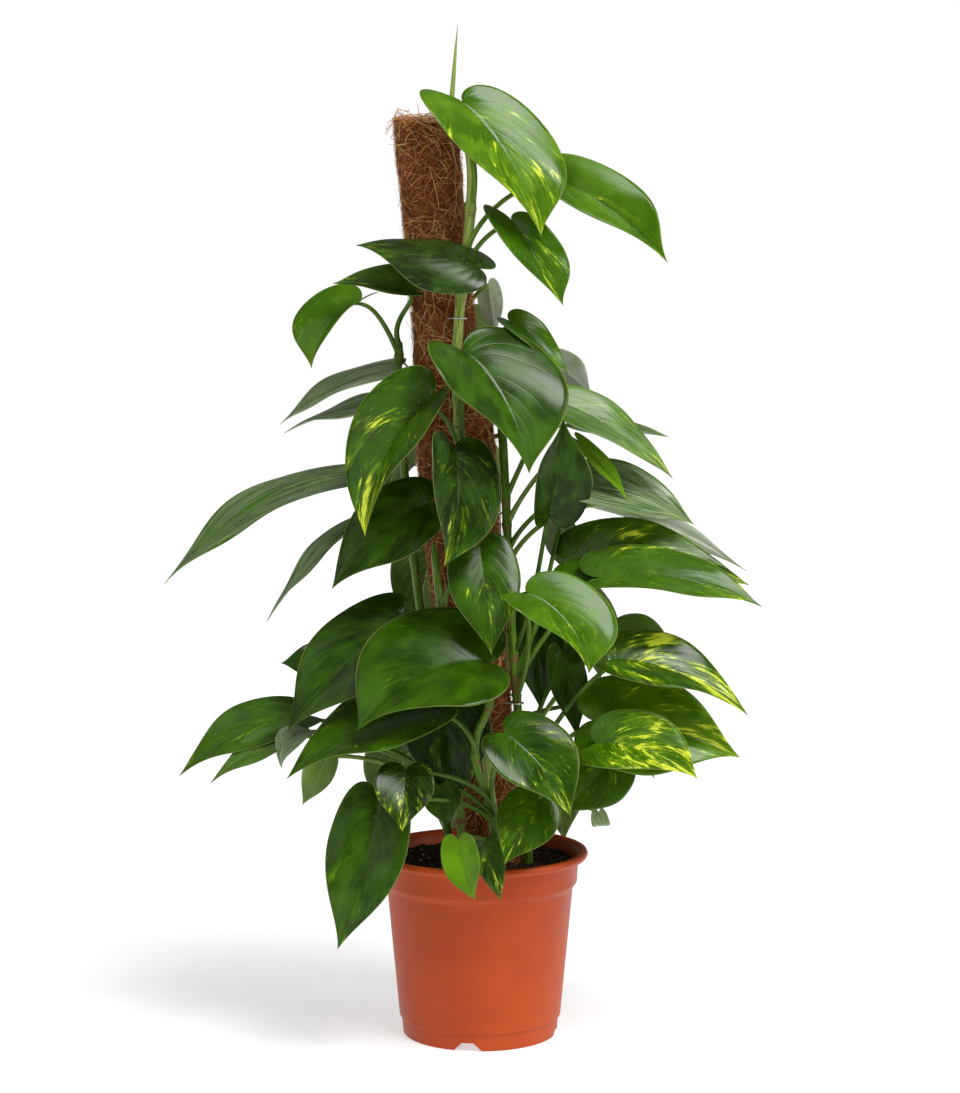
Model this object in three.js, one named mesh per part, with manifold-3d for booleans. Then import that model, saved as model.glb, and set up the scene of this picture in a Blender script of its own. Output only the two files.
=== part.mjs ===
// A golden pothos that climbs a leaning coir pole in a plastic nursery pot.
// Millimetres, +Z up. The origin is the centre of the pot's foot, on the surface it stands on.
// The front of the plant faces -Y, and +X is to the right of it.
import * as THREE from "three";
import { mergeVertices } from "three/addons/utils/BufferGeometryUtils.js";
import Module from "manifold-3d";

const wasm = await Module();
wasm.setup();

// ---- driving dimensions ----
const EYE = { distance: 1900, height: 545 }; // where the front view is read from
const CLEAR = 0.4; // gap between touching pieces

const POT = {
  segments: 32,
  innerWall: [[9, 60.2], [137, 74.4]], // height and radius, at the floor and under the lip
  channel: 7, // height of the raised ring of the floor
  padRadius: 34, // the middle of the floor, which stands on the surface
  floor: 2, // thickness
  drains: 8,
  drainCircle: 47.5,
  drainRadius: 4.5,
  notches: 4,
  notchTurn: -9, // degrees from the front
  notch: { foot: 11, top: 4.4, height: 6.4, inner: 50, depth: 30 },
};
const SOIL = { top: 136, lumps: 1.6, rings: [58, 42, 22, 0], edgeDrop: 3 };
const HOLE = { depth: 34, above: 9, sides: 12 }; // a plain hole in the soil for each stem
const POLE = { x: 11.5, lean: -0.093, from: 130 }; // the pole's axis leans to the left as it rises
const STAKE = { radius: 9, foot: 16, top: 693, sides: 14 };
const COIR = { foot: 124, lumps: 0.8, sectors: 18, step: 30, tuft: 3, topInner: 14 };
const COIR_RADII = [ // height, radius
  [124, 23.5], [300, 24], [345, 29], [495, 30], [528, 24.4], [600, 23], [690, 24], [707, 22.5],
];
const PIN = { wire: 0.6, bite: 12, slack: 0.7, sides: 6, steps: 12 };
const ROUND = 0.56; // handle of a curve that stands for a quarter of a circle
const BLADE = 0.8; // thickness of a leaf
const SLIVER = 0.02; // the shortest edge that a join may leave
const WAVE = 0.03; // how far the margin waves, by the leaf's length
const RIB_PACE = 2.2; // rows lie closer at the stalk
const SMALL_LEAF = { size: 62, rows: 4 };
const MIDDLE_LEAF = { size: 118, rows: 5 };
const LARGE_LEAF = { rows: 6 };
const STEM_SIDES = 6;
const PETIOLE = {
  radius: 1.8, sides: 4, steps: 4,
  rise: 0.42, lean: 0.2, // how far it leaves the stem, by its reach
  back: 0.16, backMost: 8, // how far behind the blade it arrives
  grip: 0.36, // how far along the midrib it is fused
};
const SPIKE = { foot: [-22, 716, -14], tip: [-17, 781, -14], radius: 2.2 };

// ---- leaves and stems, read in the front view as [x, z, depth] ----
// Each stem rises through its points.
const STEMS = {
  front: {
    radius: 4,
    path: [
      [12, 118, -36], [12, 140, -36], [6, 210, -35], [0, 280, -35], [-6, 340, -37], [-11, 400, -38],
      [-15, 460, -37], [-18, 510, -36], [-16, 558, -33], [-11, 605, -30], [-7, 640, -29], [-7, 680, -26],
      [-12, 705, -20], [-20, 722, -14],
    ],
  },
  right: {
    radius: 3.5,
    path: [
      [38, 118, -14], [38, 140, -14], [34, 200, -16], [29, 262, -16], [24, 335, -14], [21, 400, -10],
      [18, 460, -6], [15, 495, -2],
    ],
  },
  left: {
    radius: 3.5,
    path: [
      [-24, 118, 4], [-24, 140, 4], [-33, 210, 8], [-39, 280, 10], [-47, 340, 12], [-54, 400, 14],
      [-60, 460, 14], [-64, 510, 10], [-61, 540, 2],
    ],
  },
  low_left: {
    radius: 3.3,
    path: [
      [-14, 118, -42], [-14, 140, -42], [-19, 210, -42], [-24, 280, -38], [-31, 340, -34], [-36, 385, -32],
    ],
  },
  low_front: {
    radius: 3.2,
    path: [
      [14, 118, -56], [14, 140, -56], [11, 172, -60], [5, 188, -62], [-1, 204, -62], [-4, 222, -61],
      [-2, 236, -61], [4, 249, -62], [8, 262, -64], [8, 276, -66],
    ],
  },
  back: {
    radius: 3.5,
    path: [
      [4, 118, 38], [4, 140, 38], [0, 220, 38], [-6, 300, 39], [-14, 380, 41], [-21, 460, 41],
      [-28, 540, 36], [-33, 600, 32], [-36, 640, 31],
    ],
  },
};

// stem, height of the node, base, tip, [turn to the right, tilt up] of the face in degrees,
// [width by length, fold, arch, curl of the halves], [sway in its plane, skew of the halves]
const LEAVES = [
  ["front", 640, [-13, 722, -24], [47, 621, -52], [25, 25], [0.7, 18, 25, 10], [22, 0.55]],
  ["front", 606, [50, 667, -8], [144, 601, -32], [5, 40], [0.52, 30, 25, 10], [16, 0.55]],
  ["front", 590, [24, 633, -30], [64, 568, -52], [15, 25], [0.58, 24, 22, 6], [-6, 0.8]],
  ["front", 480, [23, 556, -18], [68, 516, -32], [40, 35], [0.6, 20, 20, 10], [-8, 0]],
  ["front", 450, [-12, 532, -50], [38, 439, -88], [32, 20], [0.97, 24, 30, 10], [26, 0.2]],
  ["right", 420, [60, 494, -22], [149, 435, -30], [15, 50], [0.42, 15, 25, 15], [12, 0.1]],
  ["right", 300, [54, 406, -40], [64, 482, -42], [35, 10], [0.75, 26, 15, 10], [0, 0]],
  ["right", 380, [80, 429, -18], [166, 399, -26], [8, 42], [0.6, 20, 30, 10], [12, 0]],
  ["right", 370, [84, 418, -6], [207, 363, -12], [170, 40], [0.18, 20, 35, 10], [8, 0]],
  ["right", 400, [76, 464, -22], [115, 417, -32], [0, 45], [0.26, 20, 20, 0], [6, 0]],
  ["right", 285, [72, 372, -20], [209, 352, -34], [5, 38], [0.46, 16, 30, 10], [16, 0]],
  ["right", 275, [93, 358, -46], [219, 335, -58], [5, 56], [0.5, 20, 30, 10], [20, 0]],
  ["right", 268, [37, 345, -78], [85, 283, -104], [30, 25], [0.94, 26, 30, 10], [52, 0.5]],
  ["right", 280, [62, 398, -5], [68, 360, 0], [180, 10], [0.7, 10, 20, 10], [0, 0]],
  ["right", 200, [103, 294, -60], [209, 250, -70], [8, 56], [0.53, 24, 30, 20], [28, 0]],
  ["right", 190, [88, 246, -45], [203, 217, -55], [10, 30], [0.74, 12, 25, 15], [16, 0]],
  ["right", 170, [92, 228, -78], [170, 200, -92], [8, 35], [0.72, 24, 30, 15], [34, 0.4]],
  ["right", 165, [106, 216, -53], [64, 172, -62], [10, 25], [0.85, 8, 20, 15], [0, 0]],
  ["right", 222, [104, 315, -12], [150, 306, -38], [0, 45], [0.8, 5, 20, 10], [10, 0]],
  ["right", 220, [64, 300, -22], [76, 232, -36], [10, 5], [0.45, 12, 20, 10], [0, 0]],
  ["front", 576, [-1, 597, -57], [-95, 614, -44], [0, 52], [0.68, -5, 25, 30], [-10, 0]],
  ["left", 530, [-92, 572, -12], [-130, 520, -24], [-45, 38], [1, 30, 50, 10], [-20, -0.3]],
  ["left", 536, [-50, 579, -34], [-113, 585, -28], [0, 50], [0.64, 34, 15, 6], [10, 0]],
  ["front", 430, [-38, 498, -62], [-89, 390, -92], [-40, 20], [0.66, 28, 30, 10], [-34, 0]],
  ["front", 350, [-39, 416, -48], [-115, 349, -70], [-15, 28], [0.62, 12, 25, 15], [-22, 0]],
  ["left", 400, [-104, 436, -14], [-245, 353, -14], [-20, 64], [0.37, 6, 30, 0], [-26, -0.1]],
  ["left", 370, [-96, 398, -20], [-166, 323, -20], [-50, 50], [0.24, 25, 30, 10], [8, 0]],
  ["left", 480, [-67, 519, 0], [-154, 477, 10], [-20, 70], [0.6, 10, 30, 10], [0, 0]],
  ["left", 460, [-64, 492, 5], [-151, 470, 20], [-20, 75], [0.5, 10, 30, 10], [0, 0]],
  ["front", 415, [-20, 457, -78], [-28, 366, -100], [38, 18], [0.78, 24, 30, 10], [20, 0.2]],
  ["low_left", 320, [0, 382, -60], [9, 297, -89], [5, 20], [0.66, 12, 25, 10], [0, 0]],
  ["low_front", 268, [8, 291, -82], [-95, 238, -104], [-10, 48], [1.02, 20, 38, 14], [-50, -0.15]],
  ["low_left", 270, [-60, 327, -52], [-150, 238, -66], [-15, 20], [0.56, 10, 25, 15], [-14, -0.2]],
  ["low_left", 250, [-112, 292, -18], [-155, 291, -22], [0, 30], [0.8, 10, 20, 10], [0, 0]],
  ["low_front", 228, [-32, 257, -72], [-151, 200, -84], [-8, 60], [0.62, 18, 25, 15], [-24, 0]],
  ["low_left", 190, [-140, 250, -12], [-235, 202, -18], [-20, 45], [0.44, 15, 30, 10], [-22, -0.4]],
  ["low_left", 180, [-140, 236, -26], [-211, 196, -34], [-30, 45], [0.4, 20, 30, 10], [-10, 0]],
  ["low_left", 180, [-134, 238, -34], [-155, 208, -46], [-40, 60], [0.9, 10, 110, 10], [0, 0]],
  ["low_left", 175, [-120, 218, -40], [-139, 179, -48], [10, 20], [0.6, 15, 25, 10], [0, 0]],
  ["low_front", 165, [-80, 182, -80], [-112, 64, -98], [0, 15], [0.53, 10, 25, 10], [8, 0]],
  ["low_front", 180, [-58, 207, -92], [-61, 158, -118], [0, 35], [0.92, 14, 20, 10], [0, 0]],
  ["low_front", 170, [-31, 194, -70], [-26, 162, -76], [0, 20], [0.95, 5, 20, 10], [0, 0]],
  ["low_front", 145, [-17, 151, -96], [-4, 103, -102], [-12, 15], [0.66, 20, 20, 10], [-14, 0]],
  ["low_front", 142, [4, 148, -90], [16, 103, -96], [10, 15], [0.5, 8, 20, 10], [0, 0]],
  ["low_front", 190, [20, 235, -94], [71, 170, -116], [20, 25], [0.83, 18, 30, 12], [24, 0.1]],
  ["low_front", 150, [46, 183, -82], [19, 132, -102], [0, 25], [0.85, 8, 25, 15], [-8, 0]],
  ["back", 520, [6, 584, 22], [12, 545, 28], [180, 15], [0.5, 15, 20, 10], [0, 0]],
  ["back", 470, [53, 525, 12], [86, 499, 6], [160, 20], [0.8, 10, 40, 10], [0, 0]],
  ["back", 430, [75, 478, 8], [146, 467, 6], [150, 40], [0.3, 10, 20, 10], [0, 0]],
  ["back", 620, [-22, 640, 52], [-40, 560, 78], [180, 25], [0.45, 15, 25, 10], [0, 0]],
  ["back", 540, [-14, 560, 66], [-10, 470, 92], [170, 30], [0.6, 18, 30, 10], [10, 0]],
  ["back", 460, [-42, 495, 62], [-76, 418, 96], [200, 30], [0.65, 18, 30, 10], [-14, 0]],
  ["back", 400, [-8, 455, 72], [-20, 365, 100], [180, 30], [0.62, 18, 30, 10], [0, 0]],
  ["back", 330, [-34, 385, 60], [-48, 305, 92], [195, 30], [0.62, 18, 30, 10], [12, 0]],
  ["back", 300, [58, 352, 40], [94, 278, 78], [150, 30], [0.72, 16, 30, 10], [-12, 0]],
  ["back", 270, [6, 335, 72], [14, 248, 104], [178, 25], [0.7, 16, 30, 10], [0, 0]],
  ["back", 240, [-62, 318, 48], [-98, 246, 84], [212, 30], [0.72, 16, 30, 10], [12, 0]],
  ["back", 200, [84, 262, 38], [136, 200, 70], [140, 35], [0.72, 16, 30, 10], [-12, 0]],
  ["back", 190, [-44, 238, 56], [-76, 165, 92], [200, 30], [0.72, 16, 30, 10], [10, 0]],
  ["back", 180, [40, 224, 60], [66, 150, 98], [160, 30], [0.72, 16, 30, 10], [-10, 0]],
  ["back", 160, [-4, 200, 74], [-12, 128, 106], [180, 30], [0.72, 16, 30, 10], [0, 0]],
  ["low_left", 262, [-30, 268, -47], [-19, 177, -53], [12, 8], [0.78, 8, 14, 6], [0, 0]],
  ["right", 330, [44, 336, -2], [48, 252, -6], [0, 8], [0.52, 12, 15, 6], [0, 0]],
  ["right", 160, [93, 173, -42], [97, 168, -16], [0, -50], [0.5, 5, 110, 0], [0, 0]],
];

// Height of each wire pin, and the stem it holds to the coir.
const PINS = [["front", 558], ["right", 262]];

// ---- small helpers ----
const radians = THREE.MathUtils.degToRad;

// A point of the front view, with its depth, as a place in the part.
function place([x, z, depth]) {
  const k = 1 + depth / EYE.distance;
  return new THREE.Vector3(x * k, depth, EYE.height + (z - EYE.height) * k);
}

// A closed geometry as a solid, ready to be joined or cut.
function solid(geometry) {
  const bare = new THREE.BufferGeometry();
  bare.setAttribute("position", geometry.getAttribute("position"));
  bare.setIndex(geometry.index);
  const merged = mergeVertices(bare, 1e-3);
  const triVerts = new Uint32Array(merged.index.array);
  const vertProperties = merged.getAttribute("position").array;
  return new wasm.Manifold(new wasm.Mesh({ numProp: 3, vertProperties, triVerts }));
}

// The main body of a joined solid without its slivers: sealed hollows are filled, loose scraps are dropped.
function whole(shape) {
  const parts = shape.simplify(SLIVER).decompose();
  return parts.reduce((most, part) => (part.volume() > most.volume() ? part : most));
}

// A solid as a geometry.
function geometryOf(shape) {
  const mesh = shape.getMesh();
  const geometry = new THREE.BufferGeometry();
  geometry.setAttribute("position", new THREE.BufferAttribute(mesh.vertProperties, 3));
  geometry.setIndex(new THREE.BufferAttribute(mesh.triVerts, 1));
  return geometry;
}

// A closed round tube along a curve.
function tube(curve, radius, sides, steps) {
  const centre = new THREE.Vector2();
  const corner = (i) => new THREE.Vector2(radius, 0).rotateAround(centre, (i * 2 * Math.PI) / sides);
  const section = new THREE.Shape(Array.from({ length: sides }, (_, i) => corner(i)));
  return solid(new THREE.ExtrudeGeometry(section, { steps, extrudePath: curve }));
}

// A body turned round the vertical axis, from [radius, height] points that start and end on the axis.
function turned(profile, segments) {
  const points = profile.map(([radius, height]) => new THREE.Vector2(radius, height));
  return new THREE.LatheGeometry(points, segments).rotateX(Math.PI / 2);
}

// Straight line through [position, value] pairs.
function between(pairs, at) {
  const next = Math.max(1, pairs.findIndex(([position]) => position >= at));
  const [p0, v0] = pairs[next - 1];
  const [p1, v1] = pairs[next];
  return v0 + ((v1 - v0) * (at - p0)) / (p1 - p0);
}

function poleX(height) {
  return POLE.x + POLE.lean * (height - POLE.from);
}

// Leans an upright geometry with the pole.
function leaned(geometry) {
  const position = geometry.getAttribute("position");
  for (let i = 0; i < position.count; i++) {
    position.setX(i, position.getX(i) + poleX(position.getZ(i)));
  }
  return geometry;
}

function node(name, shape, color, roughness) {
  const material = new THREE.MeshStandardMaterial({ color, roughness, metalness: 0, flatShading: true });
  const mesh = new THREE.Mesh(geometryOf(shape), material);
  mesh.name = name;
  return mesh;
}

// ---- the pot ----
function notchCutter(turn) {
  const { foot, top, height, inner, depth } = POT.notch;
  const outline = new THREE.Shape();
  outline.moveTo(-foot, -1);
  outline.lineTo(foot, -1);
  outline.lineTo(foot, 0);
  outline.lineTo(top, height);
  outline.lineTo(-top, height);
  outline.lineTo(-foot, 0);
  const cutter = new THREE.ExtrudeGeometry(outline, { depth, bevelEnabled: false });
  cutter.rotateX(Math.PI / 2).translate(0, -inner, 0);
  return solid(cutter.rotateZ(turn));
}

function drainCutter(turn) {
  const cutter = new THREE.CylinderGeometry(POT.drainRadius, POT.drainRadius, 4 * POT.channel, 12);
  cutter.rotateX(Math.PI / 2).translate(0, -POT.drainCircle, 0);
  return solid(cutter.rotateZ(turn));
}

function pot() {
  const { channel, padRadius, floor, innerWall } = POT;
  const [[footHeight, footRadius], [topHeight, topRadius]] = innerWall;
  const profile = [
    [0, 0], [padRadius, 0], [padRadius + 2, channel], [58.4, channel], [58.8, 0], [60.4, 0], [61.5, 13],
    [63.2, 14.2], [72.8, 115.5], [76.2, 120.5], [76.9, 138.2], [83, 138.8], [84.7, 141.8], [83.4, 144.6],
    [79.4, 144.8], [76.4, 142.4],
    [topRadius, topHeight], [footRadius, footHeight],
    [padRadius + 1.5, channel + floor], [padRadius - 0.5, floor], [0, floor],
  ];
  let body = solid(turned(profile, POT.segments));
  for (let i = 0; i < POT.notches; i++) {
    body = body.subtract(notchCutter(radians(POT.notchTurn + (i * 360) / POT.notches)));
  }
  for (let i = 0; i < POT.drains; i++) {
    body = body.subtract(drainCutter(((i + 0.5) * 2 * Math.PI) / POT.drains));
  }
  return node("pot", body, 0xb24a20, 0.45);
}

// ---- the soil ----
function soilLump(x, y) {
  return SOIL.lumps * (Math.sin(0.31 * x + 0.9) * Math.cos(0.27 * y) + 0.5 * Math.sin(0.17 * (x - y) + 2));
}

function soil() {
  const { channel, padRadius } = POT;
  const [pad, floor] = [POT.floor + CLEAR, channel + POT.floor + CLEAR];
  const edge = (height) => between(POT.innerWall, height) - CLEAR;
  const shoulder = SOIL.top - SOIL.edgeDrop;
  const profile = [
    [0, pad], [padRadius - 3 * CLEAR, pad], [padRadius + 2 * CLEAR, floor], [edge(floor), floor],
    [edge(shoulder), shoulder], ...SOIL.rings.map((radius) => [radius, SOIL.top]),
  ];
  const body = turned(profile, POT.segments);
  const position = body.getAttribute("position");
  for (let i = 0; i < position.count; i++) {
    if (position.getZ(i) > SOIL.top - 1) {
      position.setZ(i, SOIL.top + soilLump(position.getX(i), position.getY(i)));
    }
  }
  let cut = solid(body);
  const wrapRadius = COIR_RADII[0][1] + COIR.lumps + CLEAR;
  cut = cut.subtract(poleCylinder(wrapRadius, COIR.foot - CLEAR, SOIL.top + HOLE.above, COIR.sectors));
  cut = cut.subtract(poleCylinder(STAKE.radius + CLEAR, STAKE.foot - CLEAR, SOIL.top, STAKE.sides));
  for (const stem of Object.values(STEMS)) {
    const foot = place(stem.path[0]);
    const radius = stem.radius + 2 * CLEAR;
    const hole = new THREE.CylinderGeometry(radius, radius, HOLE.depth, HOLE.sides);
    hole.rotateX(Math.PI / 2).translate(foot.x, foot.y, foot.z + HOLE.depth / 2 - CLEAR);
    cut = cut.subtract(solid(hole));
  }
  return node("soil", cut, 0x1d1006, 1);
}

// ---- the pole ----
function poleCylinder(radius, from, to, sides) {
  const upright = new THREE.CylinderGeometry(radius, radius, to - from, sides);
  upright.rotateX(Math.PI / 2).translate(0, 0, (from + to) / 2);
  return solid(leaned(upright));
}

function stake() {
  return node("pole_stake", poleCylinder(STAKE.radius, STAKE.foot, STAKE.top, STAKE.sides), 0x9a7a4c, 0.8);
}

function coirLump(angle, height) {
  return COIR.lumps * (Math.sin(3 * angle + height / 17) * 0.6 + Math.sin(5 * angle - height / 29) * 0.4);
}

function coir() {
  const top = COIR_RADII.at(-1)[0];
  const rows = Math.round((top - COIR.foot) / COIR.step);
  const profile = [[0, COIR.foot]];
  for (let i = 0; i <= rows; i++) {
    const height = COIR.foot + ((top - COIR.foot) * i) / rows;
    profile.push([between(COIR_RADII, height), height]);
  }
  profile.push([COIR.topInner, top - 1], [0, top - 2]);
  const body = turned(profile, COIR.sectors);
  const position = body.getAttribute("position");
  for (let i = 0; i < position.count; i++) {
    const [x, y, z] = [position.getX(i), position.getY(i), position.getZ(i)];
    const radius = Math.hypot(x, y);
    const angle = Math.atan2(y, x);
    const grow = radius > COIR.topInner ? 1 + coirLump(angle, z) / radius : 1;
    const share = radius / COIR_RADII.at(-1)[1];
    const rise = z > top - 3 ? COIR.tuft * Math.sin(2 * angle + 1) * share : 0;
    position.setXYZ(i, x * grow, y * grow, z + rise);
  }
  let wrap = solid(leaned(body));
  wrap = wrap.subtract(poleCylinder(STAKE.radius + CLEAR, STAKE.foot, STAKE.top + CLEAR, STAKE.sides));
  for (const [stem, height] of PINS) {
    wrap = wrap.subtract(pinWire(stem, height, PIN.wire + CLEAR, CLEAR));
  }
  return node("coir_wrap", wrap, 0x75501f, 1);
}

// ---- the wire pins that hold stems to the coir ----
function pinWire(stem, height, radius, longer) {
  const held = stemPoint(stem, height);
  const axis = new THREE.Vector3(poleX(held.z), 0, held.z);
  const out = held.clone().sub(axis).normalize();
  const side = new THREE.Vector3(0, 0, 1).cross(out);
  const half = STEMS[stem].radius + PIN.wire + PIN.slack;
  const bite = between(COIR_RADII, held.z) - PIN.bite - longer;
  const leg = (across) => axis.clone().addScaledVector(out, bite).addScaledVector(side, across);
  const bend = (across) => held.clone().addScaledVector(side, across);
  const path = new THREE.CurvePath();
  const round = half * ROUND;
  const crown = held.clone().addScaledVector(out, half);
  const lifted = (across) => bend(across).addScaledVector(out, round);
  path.add(new THREE.LineCurve3(leg(half), bend(half)));
  const crownHandle = (across) => crown.clone().addScaledVector(side, across);
  path.add(new THREE.CubicBezierCurve3(bend(half), lifted(half), crownHandle(round), crown));
  path.add(new THREE.CubicBezierCurve3(crown, crownHandle(-round), lifted(-half), bend(-half)));
  path.add(new THREE.LineCurve3(bend(-half), leg(-half)));
  return tube(path, radius, PIN.sides, PIN.steps);
}

function pin([stem, height], index) {
  return node("wire_pin_" + (index + 1), pinWire(stem, height, PIN.wire, 0), 0xd8d8d4, 0.35);
}

// ---- stems, petioles and leaves ----
// The point of a stem's line at a height.
function stemPoint(stem, height) {
  const path = STEMS[stem].path.map(place);
  const next = Math.max(1, path.findIndex((point) => point.z >= height));
  const [low, high] = [path[next - 1], path[next]];
  return low.clone().lerp(high, (height - low.z) / (high.z - low.z));
}

function bezier(a, b, c, d, t) {
  const s = 1 - t;
  return [0, 1].map((i) => s ** 3 * a[i] + 3 * s * s * t * b[i] + 3 * s * t * t * c[i] + t ** 3 * d[i]);
}

// The margin of a heart-shaped blade as [share of length, share of half width]:
// first round the lobe that reaches back past the stalk, then along the side to the tip.
const LOBE = [[0, 0], [-0.15, 0.1], [-0.22, 0.92], [0.27, 1]];
const SIDE = [[0.27, 1], [0.6, 1.04], [0.78, 0.22], [1, 0]];
const LOBE_SHARE = 0.4;
function margin(s) {
  return s < LOBE_SHARE
    ? bezier(...LOBE, s / LOBE_SHARE)
    : bezier(...SIDE, (s - LOBE_SHARE) / (1 - LOBE_SHARE));
}

// A unit chord bent by a turn in radians: how far along, how far up, and the slope there.
function bent(turn, along) {
  if (Math.abs(turn) < 1e-3) return [along, 0, 0];
  const half = turn / 2;
  const stretch = half / Math.sin(half) / turn;
  const slope = half - turn * along;
  return [(Math.sin(half) - Math.sin(slope)) * stretch, (Math.cos(slope) - Math.cos(half)) * stretch, slope];
}

// How far out and up a half blade reaches at a distance from the midrib.
function halfSection(fold, curl, distance) {
  if (Math.abs(curl) < 1e-3) return [distance * Math.cos(fold), distance * Math.sin(fold)];
  const slope = fold - curl * distance;
  return [(Math.sin(fold) - Math.sin(slope)) / curl, (Math.cos(slope) - Math.cos(fold)) / curl];
}

function readLeaf([stem, height, base, tip, face, form, bend]) {
  const from = place(base);
  const along = place(tip).sub(from);
  const size = along.length();
  along.normalize();
  const [turn, tilt] = face.map(radians);
  const level = Math.cos(tilt);
  const up = new THREE.Vector3(Math.sin(turn) * level, -Math.cos(turn) * level, Math.sin(tilt));
  up.addScaledVector(along, -up.dot(along)).normalize();
  const across = up.clone().cross(along);
  const [width, fold, arch, curl] = form;
  const [sway, skew] = bend;
  return { stem, height, from, size, along, up, across, width, fold, arch, curl, sway, skew, wave: base[0] };
}

// A point of the blade: s runs from the stalk (0) to the tip (1), v from one margin (-1) to the other (1).
function bladePoint(leaf, s, v) {
  const [marginAlong, marginWidth] = margin(s);
  const side = v < 0 ? -1 : 1;
  const share = Math.abs(v);
  const half = leaf.width / 2;
  const rib = s ** RIB_PACE;
  const distance = marginWidth * share * half;
  const [out, lift] = halfSection(radians(leaf.fold), radians(leaf.curl) / half, distance);
  const wave = WAVE * share * share * marginWidth * Math.sin(9.7 * s + side + leaf.wave);
  const flat = rib + (marginAlong - rib) * share ** 1.3 + leaf.skew * out * side;
  const [x, y, swaySlope] = bent(radians(leaf.sway), flat);
  const reach = x - out * side * Math.sin(swaySlope);
  const across = y + out * side * Math.cos(swaySlope);
  const [along, up, archSlope] = bent(radians(leaf.arch), reach);
  const raised = lift + wave;
  return leaf.from
    .clone()
    .addScaledVector(leaf.along, leaf.size * (along - raised * Math.sin(archSlope)))
    .addScaledVector(leaf.across, leaf.size * across)
    .addScaledVector(leaf.up, leaf.size * (up + raised * Math.cos(archSlope)));
}

// A thin closed blade, split into triangles alike on both faces.
function blade(leaf) {
  const { rows } = [SMALL_LEAF, MIDDLE_LEAF].find(({ size }) => leaf.size < size) ?? LARGE_LEAF;
  const ACROSS = 4;
  const middle = [bladePoint(leaf, 0, 0)];
  for (let i = 1; i < rows; i++) {
    for (let j = 0; j <= ACROSS; j++) {
      middle.push(bladePoint(leaf, i / rows, (2 * j) / ACROSS - 1));
    }
  }
  const tip = middle.push(bladePoint(leaf, 1, 0)) - 1;
  const at = (i, j) => 1 + (i - 1) * (ACROSS + 1) + j;
  const faces = [];
  for (let j = 0; j < ACROSS; j++) {
    faces.push([0, at(1, j), at(1, j + 1)]);
    for (let i = 1; i < rows - 1; i++) {
      const [a, b, c, d] = [at(i, j), at(i + 1, j), at(i + 1, j + 1), at(i, j + 1)];
      faces.push(...(j < ACROSS / 2 ? [[a, b, c], [a, c, d]] : [[a, b, d], [b, c, d]]));
    }
    faces.push([at(rows - 1, j), tip, at(rows - 1, j + 1)]);
  }
  const normals = middle.map(() => new THREE.Vector3());
  for (const face of faces) {
    const [a, b, c] = face.map((i) => middle[i]);
    const normal = b.clone().sub(a).cross(c.clone().sub(a));
    face.forEach((i) => normals[i].add(normal));
  }
  const count = middle.length;
  normals.forEach((normal) => normal.normalize());
  const skin = (way) =>
    middle.map((point, i) => point.clone().addScaledVector(normals[i], (way * BLADE) / 2));
  const vertices = [...skin(1), ...skin(-1)];
  const triangles = faces.flatMap(([a, b, c]) => [[a, b, c], [a + count, c + count, b + count]]);
  const rim = [0, ...Array.from({ length: rows - 1 }, (_, i) => at(i + 1, 0)), tip];
  rim.push(...Array.from({ length: rows - 1 }, (_, i) => at(rows - 1 - i, ACROSS)));
  rim.forEach((a, i) => {
    const b = rim[(i + 1) % rim.length];
    triangles.push([b, a, a + count], [b, a + count, b + count]);
  });
  const geometry = new THREE.BufferGeometry();
  const numbers = vertices.flatMap((point) => point.toArray());
  geometry.setAttribute("position", new THREE.Float32BufferAttribute(numbers, 3));
  geometry.setIndex(triangles.flat());
  return solid(geometry);
}

// The stalk leaves the stem upwards and outwards and runs into the blade from behind.
function petiole(leaf) {
  const from = stemPoint(leaf.stem, leaf.height);
  const reach = from.distanceTo(leaf.from);
  const axis = new THREE.Vector3(poleX(from.z), 0, from.z);
  const out = from.clone().sub(axis).normalize();
  const leave = from.clone().addScaledVector(out, PETIOLE.lean * reach);
  leave.z += PETIOLE.rise * reach;
  const back = Math.min(PETIOLE.back * reach, PETIOLE.backMost);
  const arrive = leaf.from.clone().addScaledVector(leaf.along, -back).addScaledVector(leaf.up, -back);
  const grip = bladePoint(leaf, PETIOLE.grip, 0);
  const curve = new THREE.CubicBezierCurve3(from, leave, arrive, grip);
  return tube(curve, PETIOLE.radius, PETIOLE.sides, PETIOLE.steps);
}

function spike() {
  const foot = place(SPIKE.foot);
  const tip = place(SPIKE.tip);
  const cone = new THREE.ConeGeometry(SPIKE.radius, foot.distanceTo(tip), 6, 1);
  cone.rotateX(Math.PI / 2).translate(0, 0, foot.distanceTo(tip) / 2);
  const turn = new THREE.Quaternion();
  turn.setFromUnitVectors(new THREE.Vector3(0, 0, 1), tip.clone().sub(foot).normalize());
  return solid(cone.applyQuaternion(turn).translate(foot.x, foot.y, foot.z));
}

function vine(name) {
  const { radius, path } = STEMS[name];
  const curve = new THREE.CatmullRomCurve3(path.map(place));
  let body = tube(curve, radius, STEM_SIDES, path.length + 3);
  for (const leaf of LEAVES.map(readLeaf).filter((one) => one.stem === name)) {
    body = body.add(petiole(leaf)).add(blade(leaf));
  }
  if (name === "front") body = body.add(spike());
  return node("vine_" + name, whole(body), 0x3f7018, 0.4);
}

const plant = new THREE.Group();
plant.add(pot(), soil(), stake(), coir());
plant.add(...PINS.map(pin));
plant.add(...Object.keys(STEMS).map(vine));

export default plant;
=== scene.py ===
"""A golden pothos that climbs a leaning coir pole in a plastic nursery pot: its looks.

Lengths are millimetres until a piece is finished, which puts it in metres.
The front of the plant faces -Y, and +X is to the right of it.
"""

import math

import bmesh
import bpy
import numpy as np
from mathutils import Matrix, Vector, noise


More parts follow.
